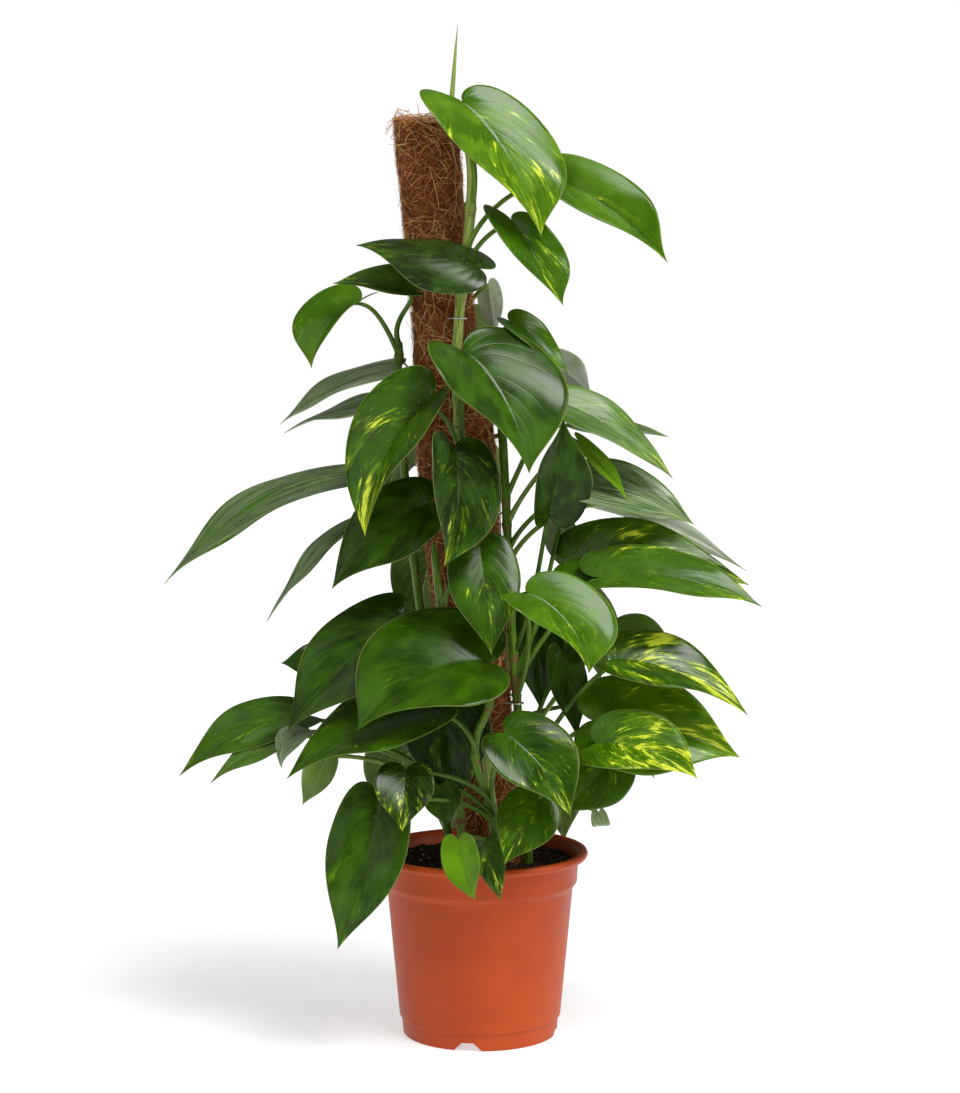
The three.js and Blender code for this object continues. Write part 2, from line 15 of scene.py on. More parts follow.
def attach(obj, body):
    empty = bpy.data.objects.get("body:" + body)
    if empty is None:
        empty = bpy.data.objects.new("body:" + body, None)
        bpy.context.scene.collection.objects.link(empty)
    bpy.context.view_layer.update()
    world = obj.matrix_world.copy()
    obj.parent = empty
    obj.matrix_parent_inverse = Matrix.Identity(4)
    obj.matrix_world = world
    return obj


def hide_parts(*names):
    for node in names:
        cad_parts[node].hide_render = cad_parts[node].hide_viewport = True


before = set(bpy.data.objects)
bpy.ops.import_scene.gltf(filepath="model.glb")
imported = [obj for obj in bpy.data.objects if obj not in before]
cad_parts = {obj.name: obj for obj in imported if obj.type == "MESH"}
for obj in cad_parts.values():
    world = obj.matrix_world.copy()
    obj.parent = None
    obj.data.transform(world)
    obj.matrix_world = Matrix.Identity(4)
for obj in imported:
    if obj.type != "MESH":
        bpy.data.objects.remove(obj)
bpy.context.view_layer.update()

MM = 0.001
NO_LOOK = (0, 0, 0, 0)
DARK_END = 10.5 / 255  # below it a screen colour is proportional to light
EYE = {"distance": 1900, "height": 545}  # where the front view is read from
CLEAR = 0.4
PITCH = 4.9  # degrees that the camera looks down
LENS = 81.03
SENSOR = 36
VIEW_END = 60

# Where each lamp stands, its strength, and how wide it looks in degrees.
LAMPS = {
    "key": [(1.2, -1.6, 3.2), 2.9, 26],
    "side": [(2.6, -0.6, 1.0), 0.8, 30],
    "fill": [(-2.0, -2.4, 1.6), 0.4, 40],
}
ROOM_LIGHT = 0.22
FLOOR = {"radius": 7000, "bottom": -12, "top": -0.3, "segments": 64}
FLOOR_GLOW = 0.58  # the floor is a lit white sheet

# ---- the pot ----
POT_SEGMENTS = 144
POT_OUTSIDE = [
    [34, 0], [36, 7], [58.4, 7], [58.8, 0], [60.4, 0], [61.5, 13], [63.2, 14.2], [72.8, 115.5],
    [76.2, 120.5], [76.9, 138.2], [83, 138.8], [84.7, 141.8], [83.4, 144.6], [79.4, 144.8], [76.4, 142.4],
]
POT_FLOOR = 9
POT_INSIDE = [[74.4, 137], [60.2, POT_FLOOR], [35.5, POT_FLOOR], [33.5, 2]]
INNER_WALL = [[POT_FLOOR, 60.2], [137, 74.4]]
POT_ROUNDING = 0.7
POT_CREASE = 38  # degrees from which an edge looks sharp
DRAINS = {"count": 8, "circle": 47.5, "radius": 4.5, "reach": 14, "sides": 28}
NOTCHES = {"count": 4, "turn": -9, "foot": 11, "top": 4.4, "height": 6.4, "inner": 50, "outer": 80}

# ---- the soil and the pole ----
SOIL = {"top": 136, "lumps": 1.6, "rough": 1.6, "segments": 110, "step": 2.5, "flat": 72, "brim": 3}
SOIL_PLUG = {"height": 2.4, "radius": 32.8, "neck": 34.8}  # fills the step in the pot's floor
CRUMB_BED = {"radii": (4, 71.5, 3), "segments": 90}
POLE = {"x": 11.5, "lean": -0.093, "from": 130}
COIR = {"foot": 124, "lumps": 0.8, "sectors": 132, "step": 3}
COIR_RADII = [[124, 23.5], [300, 24], [345, 29], [495, 30], [528, 24.4], [600, 23], [690, 24], [707, 22.5]]
COIR_TOP = [[18.5, 0.5], [14, 1], [9, 1.6], [4, 2], [0, 2]]  # radius, and depth below the top
COIR_END = {"radii": (5, 14, 21), "segments": 24}
COIR_FUZZ = 1.2  # how far strands lie off the pole before they are drawn closer
COIR_KEEP = {"coir_matted": 0.3, "coir_long": 0.3, "coir_loose": 0.6}  # how much of the rest stays
PIN = {"wire": 0.6, "bite": 12, "slack": 0.3, "steps": 15, "sides": 12}
PINS = [["front", 558], ["right", 262]]
SPIKE = {
    "foot": [-22, 716, -14], "tip": [-17, 781, -14], "radius": 2.2,
    "steps": 24, "sides": 14, "groove": 0.25, "look": (0.95, 0, 0, 0.2),
}

# ---- leaves and stems, read in the front view as [x, z, depth] ----
STEMS = {
    "front": [4, [
        [12, 118, -36], [12, 140, -36], [6, 210, -35], [0, 280, -35], [-6, 340, -37], [-11, 400, -38],
        [-15, 460, -37], [-18, 510, -36], [-16, 558, -33], [-11, 605, -30], [-7, 640, -29], [-7, 680, -26],
        [-12, 705, -20], [-20, 722, -14],
    ]],
    "right": [3.5, [
        [38, 118, -14], [38, 140, -14], [34, 200, -16], [29, 262, -16], [24, 335, -14], [21, 400, -10],
        [18, 460, -6], [15, 495, -2],
    ]],
    "left": [3.5, [
        [-24, 118, 4], [-24, 140, 4], [-33, 210, 8], [-39, 280, 10], [-47, 340, 12], [-54, 400, 14],
        [-60, 460, 14], [-64, 510, 10], [-61, 540, 2],
    ]],
    "low_left": [3.3, [
        [-14, 118, -42], [-14, 140, -42], [-19, 210, -42], [-24, 280, -38], [-31, 340, -34], [-36, 385, -32],
    ]],
    "low_front": [3.2, [
        [14, 118, -56], [14, 140, -56], [11, 172, -60], [5, 188, -62], [-1, 204, -62], [-4, 222, -61],
        [-2, 236, -61], [4, 249, -62], [8, 262, -64], [8, 276, -66],
    ]],
    "back": [3.5, [
        [4, 118, 38], [4, 140, 38], [0, 220, 38], [-6, 300, 39], [-14, 380, 41], [-21, 460, 41],
        [-28, 540, 36], [-33, 600, 32], [-36, 640, 31],
    ]],
}

# stem, height of the node, base, tip, [turn to the right, tilt up] of the face in degrees,
# [width by length, fold, arch, curl of the halves], [sway in its plane, skew of the halves],
# [light green, yellow flecks, painted grey-white sheen] from 0 to 1
# light green is partly painted light, as backlit leaves are set light; the painted sheen holds some pale leaf
# colour
LEAVES = [
    ["front", 640, [-13, 722, -24], [47, 621, -52], [25, 25], [0.7, 18, 25, 10], [22, 0.55],
     [0.7, 0.62, 0.03]],
    ["front", 606, [50, 667, -8], [144, 601, -32], [5, 40], [0.52, 30, 25, 10], [16, 0.55], [0.68, 0.1, 0]],
    ["front", 590, [24, 633, -30], [64, 568, -52], [15, 25], [0.58, 24, 22, 6], [-6, 0.8], [0.5, 0.4, 0]],
    ["front", 480, [23, 556, -18], [68, 516, -32], [40, 35], [0.6, 20, 20, 10], [-8, 0], [0.55, 0.1, 0]],
    ["front", 450, [-12, 532, -50], [38, 439, -88], [32, 20], [0.97, 24, 30, 10], [26, 0.2], [0.3, 0, 0.05]],
    ["right", 420, [60, 494, -22], [149, 435, -30], [15, 50], [0.42, 15, 25, 15], [12, 0.1],
     [0.65, 0.3, 0.35]],
    ["right", 300, [54, 406, -40], [64, 482, -42], [35, 10], [0.75, 26, 15, 10], [0, 0], [0.1, 0, 0]],
    ["right", 380, [80, 429, -18], [166, 399, -26], [8, 42], [0.6, 20, 30, 10], [12, 0], [0.5, 0.1, 0.5]],
    ["right", 370, [84, 418, -6], [207, 363, -12], [170, 40], [0.18, 20, 35, 10], [8, 0], [1, 0, 1]],
    ["right", 400, [76, 464, -22], [115, 417, -32], [0, 45], [0.26, 20, 20, 0], [6, 0], [1, 0.1, 0]],
    ["right", 285, [72, 372, -20], [209, 352, -34], [5, 38], [0.46, 16, 30, 10], [16, 0], [0.35, 0.5, 0]],
    ["right", 275, [93, 358, -46], [219, 335, -58], [5, 56], [0.5, 20, 30, 10], [20, 0], [0.55, 0.3, 0.1]],
    ["right", 268, [37, 345, -78], [85, 283, -104], [30, 25], [0.94, 26, 30, 10], [52, 0.5], [0.65, 0.2, 0]],
    ["right", 280, [62, 398, -5], [68, 360, 0], [180, 10], [0.7, 10, 20, 10], [0, 0], [0.3, 0.1, 0.2]],
    ["right", 200, [103, 294, -60], [209, 250, -70], [8, 56], [0.53, 24, 30, 20], [28, 0], [0.25, 0.85, 0]],
    ["right", 190, [88, 246, -45], [203, 217, -55], [10, 30], [0.74, 12, 25, 15], [16, 0], [0.7, 0.6, 0]],
    ["right", 170, [92, 228, -78], [170, 200, -92], [8, 35], [0.72, 24, 30, 15], [34, 0.4], [0.45, 0.9, 0]],
    ["right", 165, [106, 216, -53], [64, 172, -62], [10, 25], [0.85, 8, 20, 15], [0, 0], [0.45, 0.3, 0]],
    ["right", 222, [104, 315, -12], [150, 306, -38], [0, 45], [0.8, 5, 20, 10], [10, 0], [1, 0.1, 0.3]],
    ["right", 220, [64, 300, -22], [76, 232, -36], [10, 5], [0.45, 12, 20, 10], [0, 0], [0.12, 0, 0]],
    ["front", 576, [-1, 597, -57], [-95, 614, -44], [0, 52], [0.68, -5, 25, 30], [-10, 0], [0.1, 0.05, 0.1]],
    ["left", 530, [-92, 572, -12], [-130, 520, -24], [-45, 38], [1, 30, 50, 10], [-20, -0.3], [0.6, 0.1, 0]],
    ["left", 536, [-50, 579, -34], [-113, 585, -28], [0, 50], [0.64, 34, 15, 6], [10, 0], [0.3, 0.1, 0.1]],
    ["front", 430, [-38, 498, -62], [-89, 390, -92], [-40, 20], [0.66, 28, 30, 10], [-34, 0], [0.3, 0.65, 0]],
    ["front", 350, [-39, 416, -48], [-115, 349, -70], [-15, 28], [0.62, 12, 25, 15], [-22, 0],
     [0.2, 0.05, 0]],
    ["left", 400, [-104, 436, -14], [-245, 353, -14], [-20, 64], [0.37, 6, 30, 0], [-26, -0.1],
     [0.3, 0.1, 0.35]],
    ["left", 370, [-96, 398, -20], [-166, 323, -20], [-50, 50], [0.24, 25, 30, 10], [8, 0], [0.3, 0, 0.45]],
    ["left", 480, [-67, 519, 0], [-154, 477, 10], [-20, 70], [0.6, 10, 30, 10], [0, 0], [0.8, 0, 0.9]],
    ["left", 460, [-64, 492, 5], [-151, 470, 20], [-20, 75], [0.5, 10, 30, 10], [0, 0], [1, 0, 1]],
    ["front", 415, [-20, 457, -78], [-28, 366, -100], [38, 18], [0.78, 24, 30, 10], [20, 0.2],
     [0.08, 0.42, 0]],
    ["low_left", 320, [0, 382, -60], [9, 297, -89], [5, 20], [0.66, 12, 25, 10], [0, 0], [0.25, 0.3, 0]],
    ["low_front", 268, [8, 291, -82], [-95, 238, -104], [-10, 48], [1.02, 20, 38, 14], [-50, -0.15],
     [0.3, 0.03, 0]],
    ["low_left", 270, [-60, 327, -52], [-150, 238, -66], [-15, 20], [0.56, 10, 25, 15], [-14, -0.2],
     [0.15, 0, 0]],
    ["low_left", 250, [-112, 292, -18], [-155, 291, -22], [0, 30], [0.8, 10, 20, 10], [0, 0], [0.1, 0, 0]],
    ["low_front", 228, [-32, 257, -72], [-151, 200, -84], [-8, 60], [0.62, 18, 25, 15], [-24, 0],
     [0.3, 0.1, 0]],
    ["low_left", 190, [-140, 250, -12], [-235, 202, -18], [-20, 45], [0.44, 15, 30, 10], [-22, -0.4],
     [0.35, 0.1, 0.1]],
    ["low_left", 180, [-140, 236, -26], [-211, 196, -34], [-30, 45], [0.4, 20, 30, 10], [-10, 0],
     [0.5, 0.1, 0.2]],
    ["low_left", 180, [-134, 238, -34], [-155, 208, -46], [-40, 60], [0.9, 10, 110, 10], [0, 0],
     [0.5, 0, 0.7]],
    ["low_left", 175, [-120, 218, -40], [-139, 179, -48], [10, 20], [0.6, 15, 25, 10], [0, 0],
     [0.9, 0.1, 0.4]],
    ["low_front", 165, [-80, 182, -80], [-112, 64, -98], [0, 15], [0.53, 10, 25, 10], [8, 0],
     [0.25, 0.05, 0]],
    ["low_front", 180, [-58, 207, -92], [-61, 158, -118], [0, 35], [0.92, 14, 20, 10], [0, 0], [0, 0.5, 0]],
    ["low_front", 170, [-31, 194, -70], [-26, 162, -76], [0, 20], [0.95, 5, 20, 10], [0, 0], [0.2, 0, 0]],
    ["low_front", 145, [-17, 151, -96], [-4, 103, -102], [-12, 15], [0.66, 20, 20, 10], [-14, 0],
     [0.8, 0, 0]],
    ["low_front", 142, [4, 148, -90], [16, 103, -96], [10, 15], [0.5, 8, 20, 10], [0, 0], [0.15, 0.4, 0]],
    ["low_front", 190, [20, 235, -94], [71, 170, -116], [20, 25], [0.83, 18, 30, 12], [24, 0.1],
     [0.22, 0.45, 0]],
    ["low_front", 150, [46, 183, -82], [19, 132, -102], [0, 25], [0.85, 8, 25, 15], [-8, 0], [0.4, 0.4, 0]],
    ["back", 520, [6, 584, 22], [12, 545, 28], [180, 15], [0.5, 15, 20, 10], [0, 0], [1, 0, 1]],
    ["back", 470, [53, 525, 12], [86, 499, 6], [160, 20], [0.8, 10, 40, 10], [0, 0], [1, 0, 1]],
    ["back", 430, [75, 478, 8], [146, 467, 6], [150, 40], [0.3, 10, 20, 10], [0, 0], [0.6, 0, 0.3]],
    ["back", 620, [-22, 640, 52], [-40, 560, 78], [180, 25], [0.45, 15, 25, 10], [0, 0], [0.6, 0.4, 0.1]],
    ["back", 540, [-14, 560, 66], [-10, 470, 92], [170, 30], [0.6, 18, 30, 10], [10, 0], [0.5, 0.2, 0.1]],
    ["back", 460, [-42, 495, 62], [-76, 418, 96], [200, 30], [0.65, 18, 30, 10], [-14, 0], [0, 0.3, 0]],
    ["back", 400, [-8, 455, 72], [-20, 365, 100], [180, 30], [0.62, 18, 30, 10], [0, 0], [0.6, 0.3, 0.1]],
    ["back", 330, [-34, 385, 60], [-48, 305, 92], [195, 30], [0.62, 18, 30, 10], [12, 0], [0.1, 0, 0]],
    ["back", 300, [58, 352, 40], [94, 278, 78], [150, 30], [0.72, 16, 30, 10], [-12, 0], [0.5, 0.5, 0.1]],
    ["back", 270, [6, 335, 72], [14, 248, 104], [178, 25], [0.7, 16, 30, 10], [0, 0], [0.4, 0.7, 0.1]],
    ["back", 240, [-62, 318, 48], [-98, 246, 84], [212, 30], [0.72, 16, 30, 10], [12, 0], [0.5, 0.1, 0.1]],
    ["back", 200, [84, 262, 38], [136, 200, 70], [140, 35], [0.72, 16, 30, 10], [-12, 0], [0.2, 0.2, 0]],
    ["back", 190, [-44, 238, 56], [-76, 165, 92], [200, 30], [0.72, 16, 30, 10], [10, 0], [0.15, 0.1, 0]],
    ["back", 180, [40, 224, 60], [66, 150, 98], [160, 30], [0.72, 16, 30, 10], [-10, 0], [0.15, 0.3, 0]],
    ["back", 160, [-4, 200, 74], [-12, 128, 106], [180, 30], [0.72, 16, 30, 10], [0, 0], [0.3, 0.3, 0.1]],
    ["low_left", 262, [-30, 268, -47], [-19, 177, -53], [12, 8], [0.78, 8, 14, 6], [0, 0], [0, 0.05, 0]],
    ["right", 330, [44, 336, -2], [48, 252, -6], [0, 8], [0.52, 12, 15, 6], [0, 0], [0.15, 0, 0]],
    ["right", 160, [93, 173, -42], [97, 168, -16], [0, -50], [0.5, 5, 110, 0], [0, 0], [0.7, 0, 0.5]],
]

# Look of each stem: light green, and how far bark has browned it.
STEM_TONES = {
    "front": [0.95, 0.12], "right": [0.45, 0.3], "left": [0.55, 0.1], "low_left": [0.6, 0.1],
    "low_front": [0.5, 0.2], "back": [0.4, 0.35],
}

BLADE = 0.5  # thickness of a leaf
MARGIN_THINNING = 0.55
WAVE = 0.03
RIB_PACE = 2.2
BLADE_ROWS = 44
BLADE_COLUMNS = 28
SIDE_VEINS = 9
VEIN_SWEEP = 0.26  # how far a side vein runs forward on its way to the margin
RELIEF = {"swell": 0.06, "groove": -0.15, "groove_width": 1.5, "drift": 1.1, "rib": 1.3, "rib_width": 1.3}
STEM = {"step": 3, "sides": 18, "groove": 0.1, "waver": 0.03, "waver_pace": 9}
STEM_TAPER = {"share": 0.6, "length": 12}
NODE = {"swell": 0.75, "reach": 2.6, "bark": 0.6, "bark_below": 4, "bark_reach": 2.0}
ROOT = {"below": 5, "aside": 4, "drop": 9, "more": 6, "into": 13, "radii": (1.1, 0.4), "steps": 9, "sides": 7}
PETIOLE = {
    "radius": 1.8, "grip": 0.36, "lean": 0.2, "rise": 0.42, "back": 0.16, "back_most": 8,
    "steps": 22, "sides": 12, "groove": 0.14,
}


# ---- places ----
def place(point):
    """A point of the front view, with its depth, as a place in the part."""
    x, z, depth = point
    k = 1 + depth / EYE["distance"]
    return np.array([x * k, depth, EYE["height"] + (z - EYE["height"]) * k])


def between(pairs, at):
    """Straight line through [position, value] pairs."""
    return np.interp(at, [p for p, _ in pairs], [v for _, v in pairs])


def pole_x(height):
    return POLE["x"] + POLE["lean"] * (height - POLE["from"])


def pole_axis(height):
    return np.array([pole_x(height), 0, height])


def round_angles(count):
    return np.arange(count) * 2 * np.pi / count


def unit(vector):
    return vector / np.linalg.norm(vector)


def bezier(a, b, c, d, t):
    """Points of a cubic curve at the shares t."""
    a, b, c, d = (np.asarray(p, float) for p in (a, b, c, d))
    t = np.asarray(t, float)[..., None]
    s = 1 - t
    return s**3 * a + 3 * s * s * t * b + 3 * s * t * t * c + t**3 * d


def smooth(value, low, high):
    share = np.clip((value - low) / (high - low), 0, 1)
    return share * share * (3 - 2 * share)


# ---- meshes ----
class Mould:
    """Gathers skins with their surface values, to become one piece."""

    def __init__(self):
        self.points, self.faces, self.finishes, self.spots, self.values = [], [], [], [], []
        self.count = 0

    def add(self, points, faces, finish, spots, values):
        """finish is the material's number, for all faces or for each, spots the UV, values the looks."""
        points = np.asarray(points, float)
        self.points.append(points)
        self.faces += [tuple(i + self.count for i in face) for face in faces]
        self.finishes += list(finish) if np.iterable(finish) else [finish] * len(faces)
        self.spots.append(np.asarray(spots, float))
        self.values.append(np.broadcast_to(np.asarray(values, float), (len(points), 4)))
        self.count += len(points)

    def piece(self, name, materials, sharp=None):
        mesh = bpy.data.meshes.new(name)
        mesh.from_pydata((np.concatenate(self.points) * MM).tolist(), [], self.faces)
        for material in materials:
            mesh.materials.append(material)
        mesh.polygons.foreach_set("material_index", self.finishes)
        mesh.polygons.foreach_set("use_smooth", [True] * len(self.faces))
        corners = np.empty(len(mesh.loops), np.int32)
        mesh.loops.foreach_get("vertex_index", corners)
        spots = np.concatenate(self.spots)[corners]
        mesh.uv_layers.new(name="surface").data.foreach_set("uv", spots.ravel())
        values = np.concatenate(self.values)
        for i, label in enumerate(("tone", "fleck", "sheen_and_bark", "chance")):
            layer = mesh.attributes.new(label, "FLOAT", "POINT")
            layer.data.foreach_set("value", values[:, i].astype(np.float32))
        if sharp is not None:
            mesh.set_sharp_from_angle(angle=math.radians(sharp))
        mesh.validate()
        return stand(name, mesh)


def stand(name, data):
    thing = bpy.data.objects.new(name, data)
    bpy.context.scene.collection.objects.link(thing)
    return thing


def capped_tube(rings, sides):
    """Faces of a closed tube: its first point, rings of points, and its last point."""
    faces = []
    end = 1 + (rings - 1) * sides
    last = end + sides
    for j in range(sides):
        k = (j + 1) % sides
        faces.append((0, 1 + k, 1 + j))
        for i in range(rings - 1):
            a, b = 1 + i * sides, 1 + (i + 1) * sides
            faces.append((a + j, a + k, b + k, b + j))
        faces.append((last, end + j, end + k))
    return faces


def sweep(path, radii, sides, groove=0.0):
    """A closed tube along points, as points, faces and UV (length in cm, way round folded to 0..1)."""
    path = np.asarray(path, float)
    along = np.gradient(path, axis=0)
    along /= np.linalg.norm(along, axis=1)[:, None]
    first = np.cross(along[0], [0.3, -1, 0.2])
    side = unit(first)
    run = np.concatenate([[0], np.cumsum(np.linalg.norm(np.diff(path, axis=0), axis=1))]) / 10
    turn = round_angles(sides)
    ridge = 1 - groove * np.exp(-((np.cos(turn) - 1) ** 2) / 0.05)
    folded = np.abs(np.linspace(-1, 1, sides, endpoint=False))
    points, spots = [path[0]], [[run[0], 0]]
    for i, centre in enumerate(path):
        side = unit(side - along[i] * side.dot(along[i]))
        other = np.cross(along[i], side)
        ring = np.cos(turn)[:, None] * side + np.sin(turn)[:, None] * other
        points.extend(centre + ring * (radii[i] * ridge)[:, None])
        spots.extend(np.stack([np.full(sides, run[i]), folded], 1))
    points.append(path[-1])
    spots.append([run[-1], 0])
    return np.array(points), capped_tube(len(path), sides), np.array(spots)


def lathe(profile, segments, shape=None):
    """A body turned round the vertical axis. profile is [radius, height] points that start and end on it."""
    turn = round_angles(segments)
    rings = np.array(profile[1:-1], float)
    points = [[0, 0, profile[0][1]]]
    for radius, height in rings:
        points.extend(np.stack([radius * np.cos(turn), radius * np.sin(turn), np.full(segments, height)], 1))
    points.append([0, 0, profile[-1][1]])
    points = np.array(points, float)
    if shape is not None:
        points = shape(points)
    return points, capped_tube(len(rings), segments)


def ring_bed(name, points, rings, segments):
    """An open mesh of rings of points, on which small things are scattered."""
    faces = []
    for i in range(rings - 1):
        a, b = i * segments, (i + 1) * segments
        for j in range(segments):
            k = (j + 1) % segments
            faces.append((a + j, b + j, b + k, a + k))
    mesh = bpy.data.meshes.new(name)
    mesh.from_pydata((np.array(points) * MM).tolist(), [], faces)
    return mesh


def settled(thing, modifier):
    """The mesh that a modifier makes of a thing. The modifier is removed."""
    bpy.context.view_layer.update()
    made = bpy.data.meshes.new_from_object(thing.evaluated_get(bpy.context.evaluated_depsgraph_get()))
    thing.modifiers.remove(modifier)
    return made


def plain_piece(name, points, faces, spots, material):
    """A piece of one skin and one material, with no leaf's look."""
    mould = Mould()
    mould.add(points, faces, 0, spots, NO_LOOK)
    return mould.piece(name, [material])


def finish_piece(piece, nodes):
    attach(piece, "root")
    if nodes:
        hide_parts(*nodes)


# ---- nodes ----
def give(tree, socket, value):
    """Links a socket to another node's, or sets its constant."""
    if isinstance(value, bpy.types.NodeSocket):
        tree.links.new(value, socket)
    else:
        socket.default_value = value


def new_node(tree, kind, inputs, settings):
    made = tree.nodes.new(kind)
    for label, value in settings.items():
        setattr(made, label, value)
    for label, value in inputs.items():
        give(tree, made.inputs[label], value)
    return made


# ---- materials ----
class Finish:
    """A material and short calls for the nodes that the finishes share."""

    def __init__(self, name, **settings):
        self.material = bpy.data.materials.new(name)
        self.material.use_nodes = True
        self.tree = self.material.node_tree
        self.surface = self.tree.nodes["Principled BSDF"]
        for label, value in settings.items():
            self.surface.inputs[label.replace("_", " ")].default_value = value

    def node(self, kind, inputs, **settings):
        return new_node(self.tree, kind, inputs, settings)

    def paint(self, label, value):
        give(self.tree, self.surface.inputs[label], value)

    def roughen(self, pattern, low, high):
        """Roughness that follows a pattern's middle range."""
        self.paint("Roughness", self.range(pattern, 0.3, 0.7, low, high))

    def value(self, name):
        return self.node("ShaderNodeAttribute", {}, attribute_name=name).outputs["Fac"]

    def uv(self):
        spots = self.node("ShaderNodeUVMap", {}, uv_map="surface").outputs[0]
        split = self.node("ShaderNodeSeparateXYZ", {"Vector": spots})
        return split.outputs["X"], split.outputs["Y"]

    def spot(self):
        return self.node("ShaderNodeTexCoord", {}).outputs["Object"]

    def vector(self, x, y, z):
        return self.node("ShaderNodeCombineXYZ", {"X": x, "Y": y, "Z": z}).outputs[0]

    def sum(self, kind, a, b=0.0, c=0.0):
        return self.node("ShaderNodeMath", {0: a, 1: b, 2: c}, operation=kind).outputs[0]

    def range(self, value, low, high, to_low=0.0, to_high=1.0):
        inputs = {"Value": value, "From Min": low, "From Max": high, "To Min": to_low, "To Max": to_high}
        return self.node("ShaderNodeMapRange", inputs, interpolation_type="SMOOTHSTEP").outputs["Result"]

    def mix(self, share, a, b):
        made = self.node("ShaderNodeMix", {0: share, 6: a, 7: b}, data_type="RGBA")
        return made.outputs[2]

    def grain(self, where, scale, detail=3.0, roughness=0.5, distortion=0.0):
        inputs = {"Vector": where, "Scale": scale, "Detail": detail}
        inputs.update({"Roughness": roughness, "Distortion": distortion})
        return self.node("ShaderNodeTexNoise", inputs).outputs["Fac"]

    def stretch(self, where, scale):
        return self.node("ShaderNodeMapping", {"Vector": where, "Scale": scale}).outputs[0]

    def bump(self, height, strength, distance):
        inputs = {"Height": height, "Strength": strength, "Distance": distance}
        self.paint("Normal", self.node("ShaderNodeBump", inputs).outputs[0])


def colour(red, green, blue):
    """A colour given from 0 to 255, as light."""
    parts = [c / 255 for c in (red, green, blue)]
    light = [((c + 0.055) / 1.055) ** 2.4 if c > DARK_END else c / 12.92 for c in parts]
    return (*light, 1.0)


def vein_lines(made, along, across):
    """Shares of the side veins and of the midrib at a spot of the blade."""
    swept = made.sum("MULTIPLY_ADD", across, -VEIN_SWEEP, along)
    phase = made.sum("FRACT", made.sum("MULTIPLY", swept, float(SIDE_VEINS)))
    off = made.sum("ABSOLUTE", made.sum("SUBTRACT", phase, 0.5))
    side = made.range(off, 0.0, 0.09, 1.0, 0.0)
    fade = made.range(across, 0.55, 0.98, 1.0, 0.0)
    rib = made.range(across, 0.012, 0.04, 1.0, 0.0)
    return made.sum("MULTIPLY", side, fade), rib


def leaf_top():
    made = Finish("leaf_top", Roughness=0.25, Specular_IOR_Level=0.19)
    along, wide = made.uv()
    across = made.sum("ABSOLUTE", made.sum("MULTIPLY_ADD", wide, 2.0, -1.0))
    shift = made.sum("MULTIPLY", made.value("chance"), 37.0)
    sweep_along = made.sum("MULTIPLY_ADD", across, -0.2, along)
    run = lambda pace: made.sum("MULTIPLY_ADD", sweep_along, pace, shift)
    streak = made.vector(run(30.0), made.sum("MULTIPLY", wide, 8.0), shift)
    broad = made.vector(run(6.0), made.sum("MULTIPLY", wide, 2.8), shift)
    side, rib = vein_lines(made, along, across)
    cloud = made.grain(made.spot(), 42.0, 2.0)
    # tone is partly the leaf's own green and partly painted light, as backlit leaves are set light
    tone = made.sum("ADD", made.value("tone"), made.range(cloud, 0.3, 0.7, -0.12, 0.12))
    green = made.mix(made.range(tone, 0.0, 0.55), colour(20, 40, 2), colour(56, 92, 3))
    green = made.mix(made.range(tone, 0.5, 1.1), green, colour(104, 146, 12))
    mottle = made.range(made.grain(broad, 1.3, 4.0, 0.6), 0.4, 0.7, 0.0, 0.25)
    green = made.mix(mottle, green, colour(74, 118, 12))
    green = made.mix(made.sum("MULTIPLY", side, 0.07), green, colour(112, 152, 50))
    green = fleck_paint(made, green, along, streak, broad)
    green = made.mix(made.sum("MULTIPLY", rib, 0.3), green, colour(34, 64, 6))
    edge = made.range(across, 0.972, 1.0, 0.0, 0.5)
    green = made.mix(edge, green, colour(150, 166, 84))
    # painted sheen: grey-white streaks where the blade reflects the light, with some pale leaf colour in them
    lines = made.vector(made.sum("MULTIPLY_ADD", along, 3.0, shift), made.sum("MULTIPLY", wide, 30.0), shift)
    sheen_and_bark = made.range(made.value("sheen_and_bark"), 0.0, 1.0)
    painted_sheen = made.sum("MULTIPLY", sheen_and_bark, made.range(made.grain(lines, 1.0, 3.0, 0.6), 0.36, 0.62))
    green = made.mix(made.sum("MULTIPLY", painted_sheen, 0.75), green, colour(186, 194, 170))
    made.paint("Base Color", green)
    made.roughen(cloud, 0.17, 0.3)
    fine = made.grain(made.spot(), 900.0, 2.0)
    sunk = made.sum("MULTIPLY_ADD", side, -0.4, made.sum("MULTIPLY", rib, -0.2))
    made.bump(made.sum("MULTIPLY_ADD", fine, 0.3, sunk), 0.22, 0.0005)
    return made.material


def fleck_paint(made, green, along, streak, broad):
    """Yellow flecks with ragged ends, gathered in patches, each in a halo of light green."""
    fleck = made.value("fleck")
    patch = made.grain(broad, 1.0, 2.0, 0.5, 0.4)
    torn = made.grain(streak, 1.0, 5.0, 0.7, 0.5)
    level = made.sum("MULTIPLY_ADD", patch, 0.95, torn)
    level = made.sum("MULTIPLY_ADD", fleck, 0.26, level)
    level = made.sum("MULTIPLY_ADD", along, 0.28, level)
    shown = made.range(fleck, 0.0, 0.1)
    halo = made.sum("MULTIPLY", made.range(level, 1.3, 1.51, 0.0, 0.55), shown)
    green = made.mix(halo, green, colour(128, 166, 22))
    yellow = made.sum("MULTIPLY", made.range(level, 1.47, 1.53, 0.0, 0.92), shown)
    green = made.mix(yellow, green, colour(206, 216, 60))
    dots = made.grain(made.stretch(streak, (2.6, 2.4, 1.0)), 1.0, 2.0, 0.5)
    dots = made.sum("MULTIPLY", made.range(dots, 0.7, 0.75, 0.0, 0.6), shown)
    return made.mix(dots, green, colour(176, 198, 60))


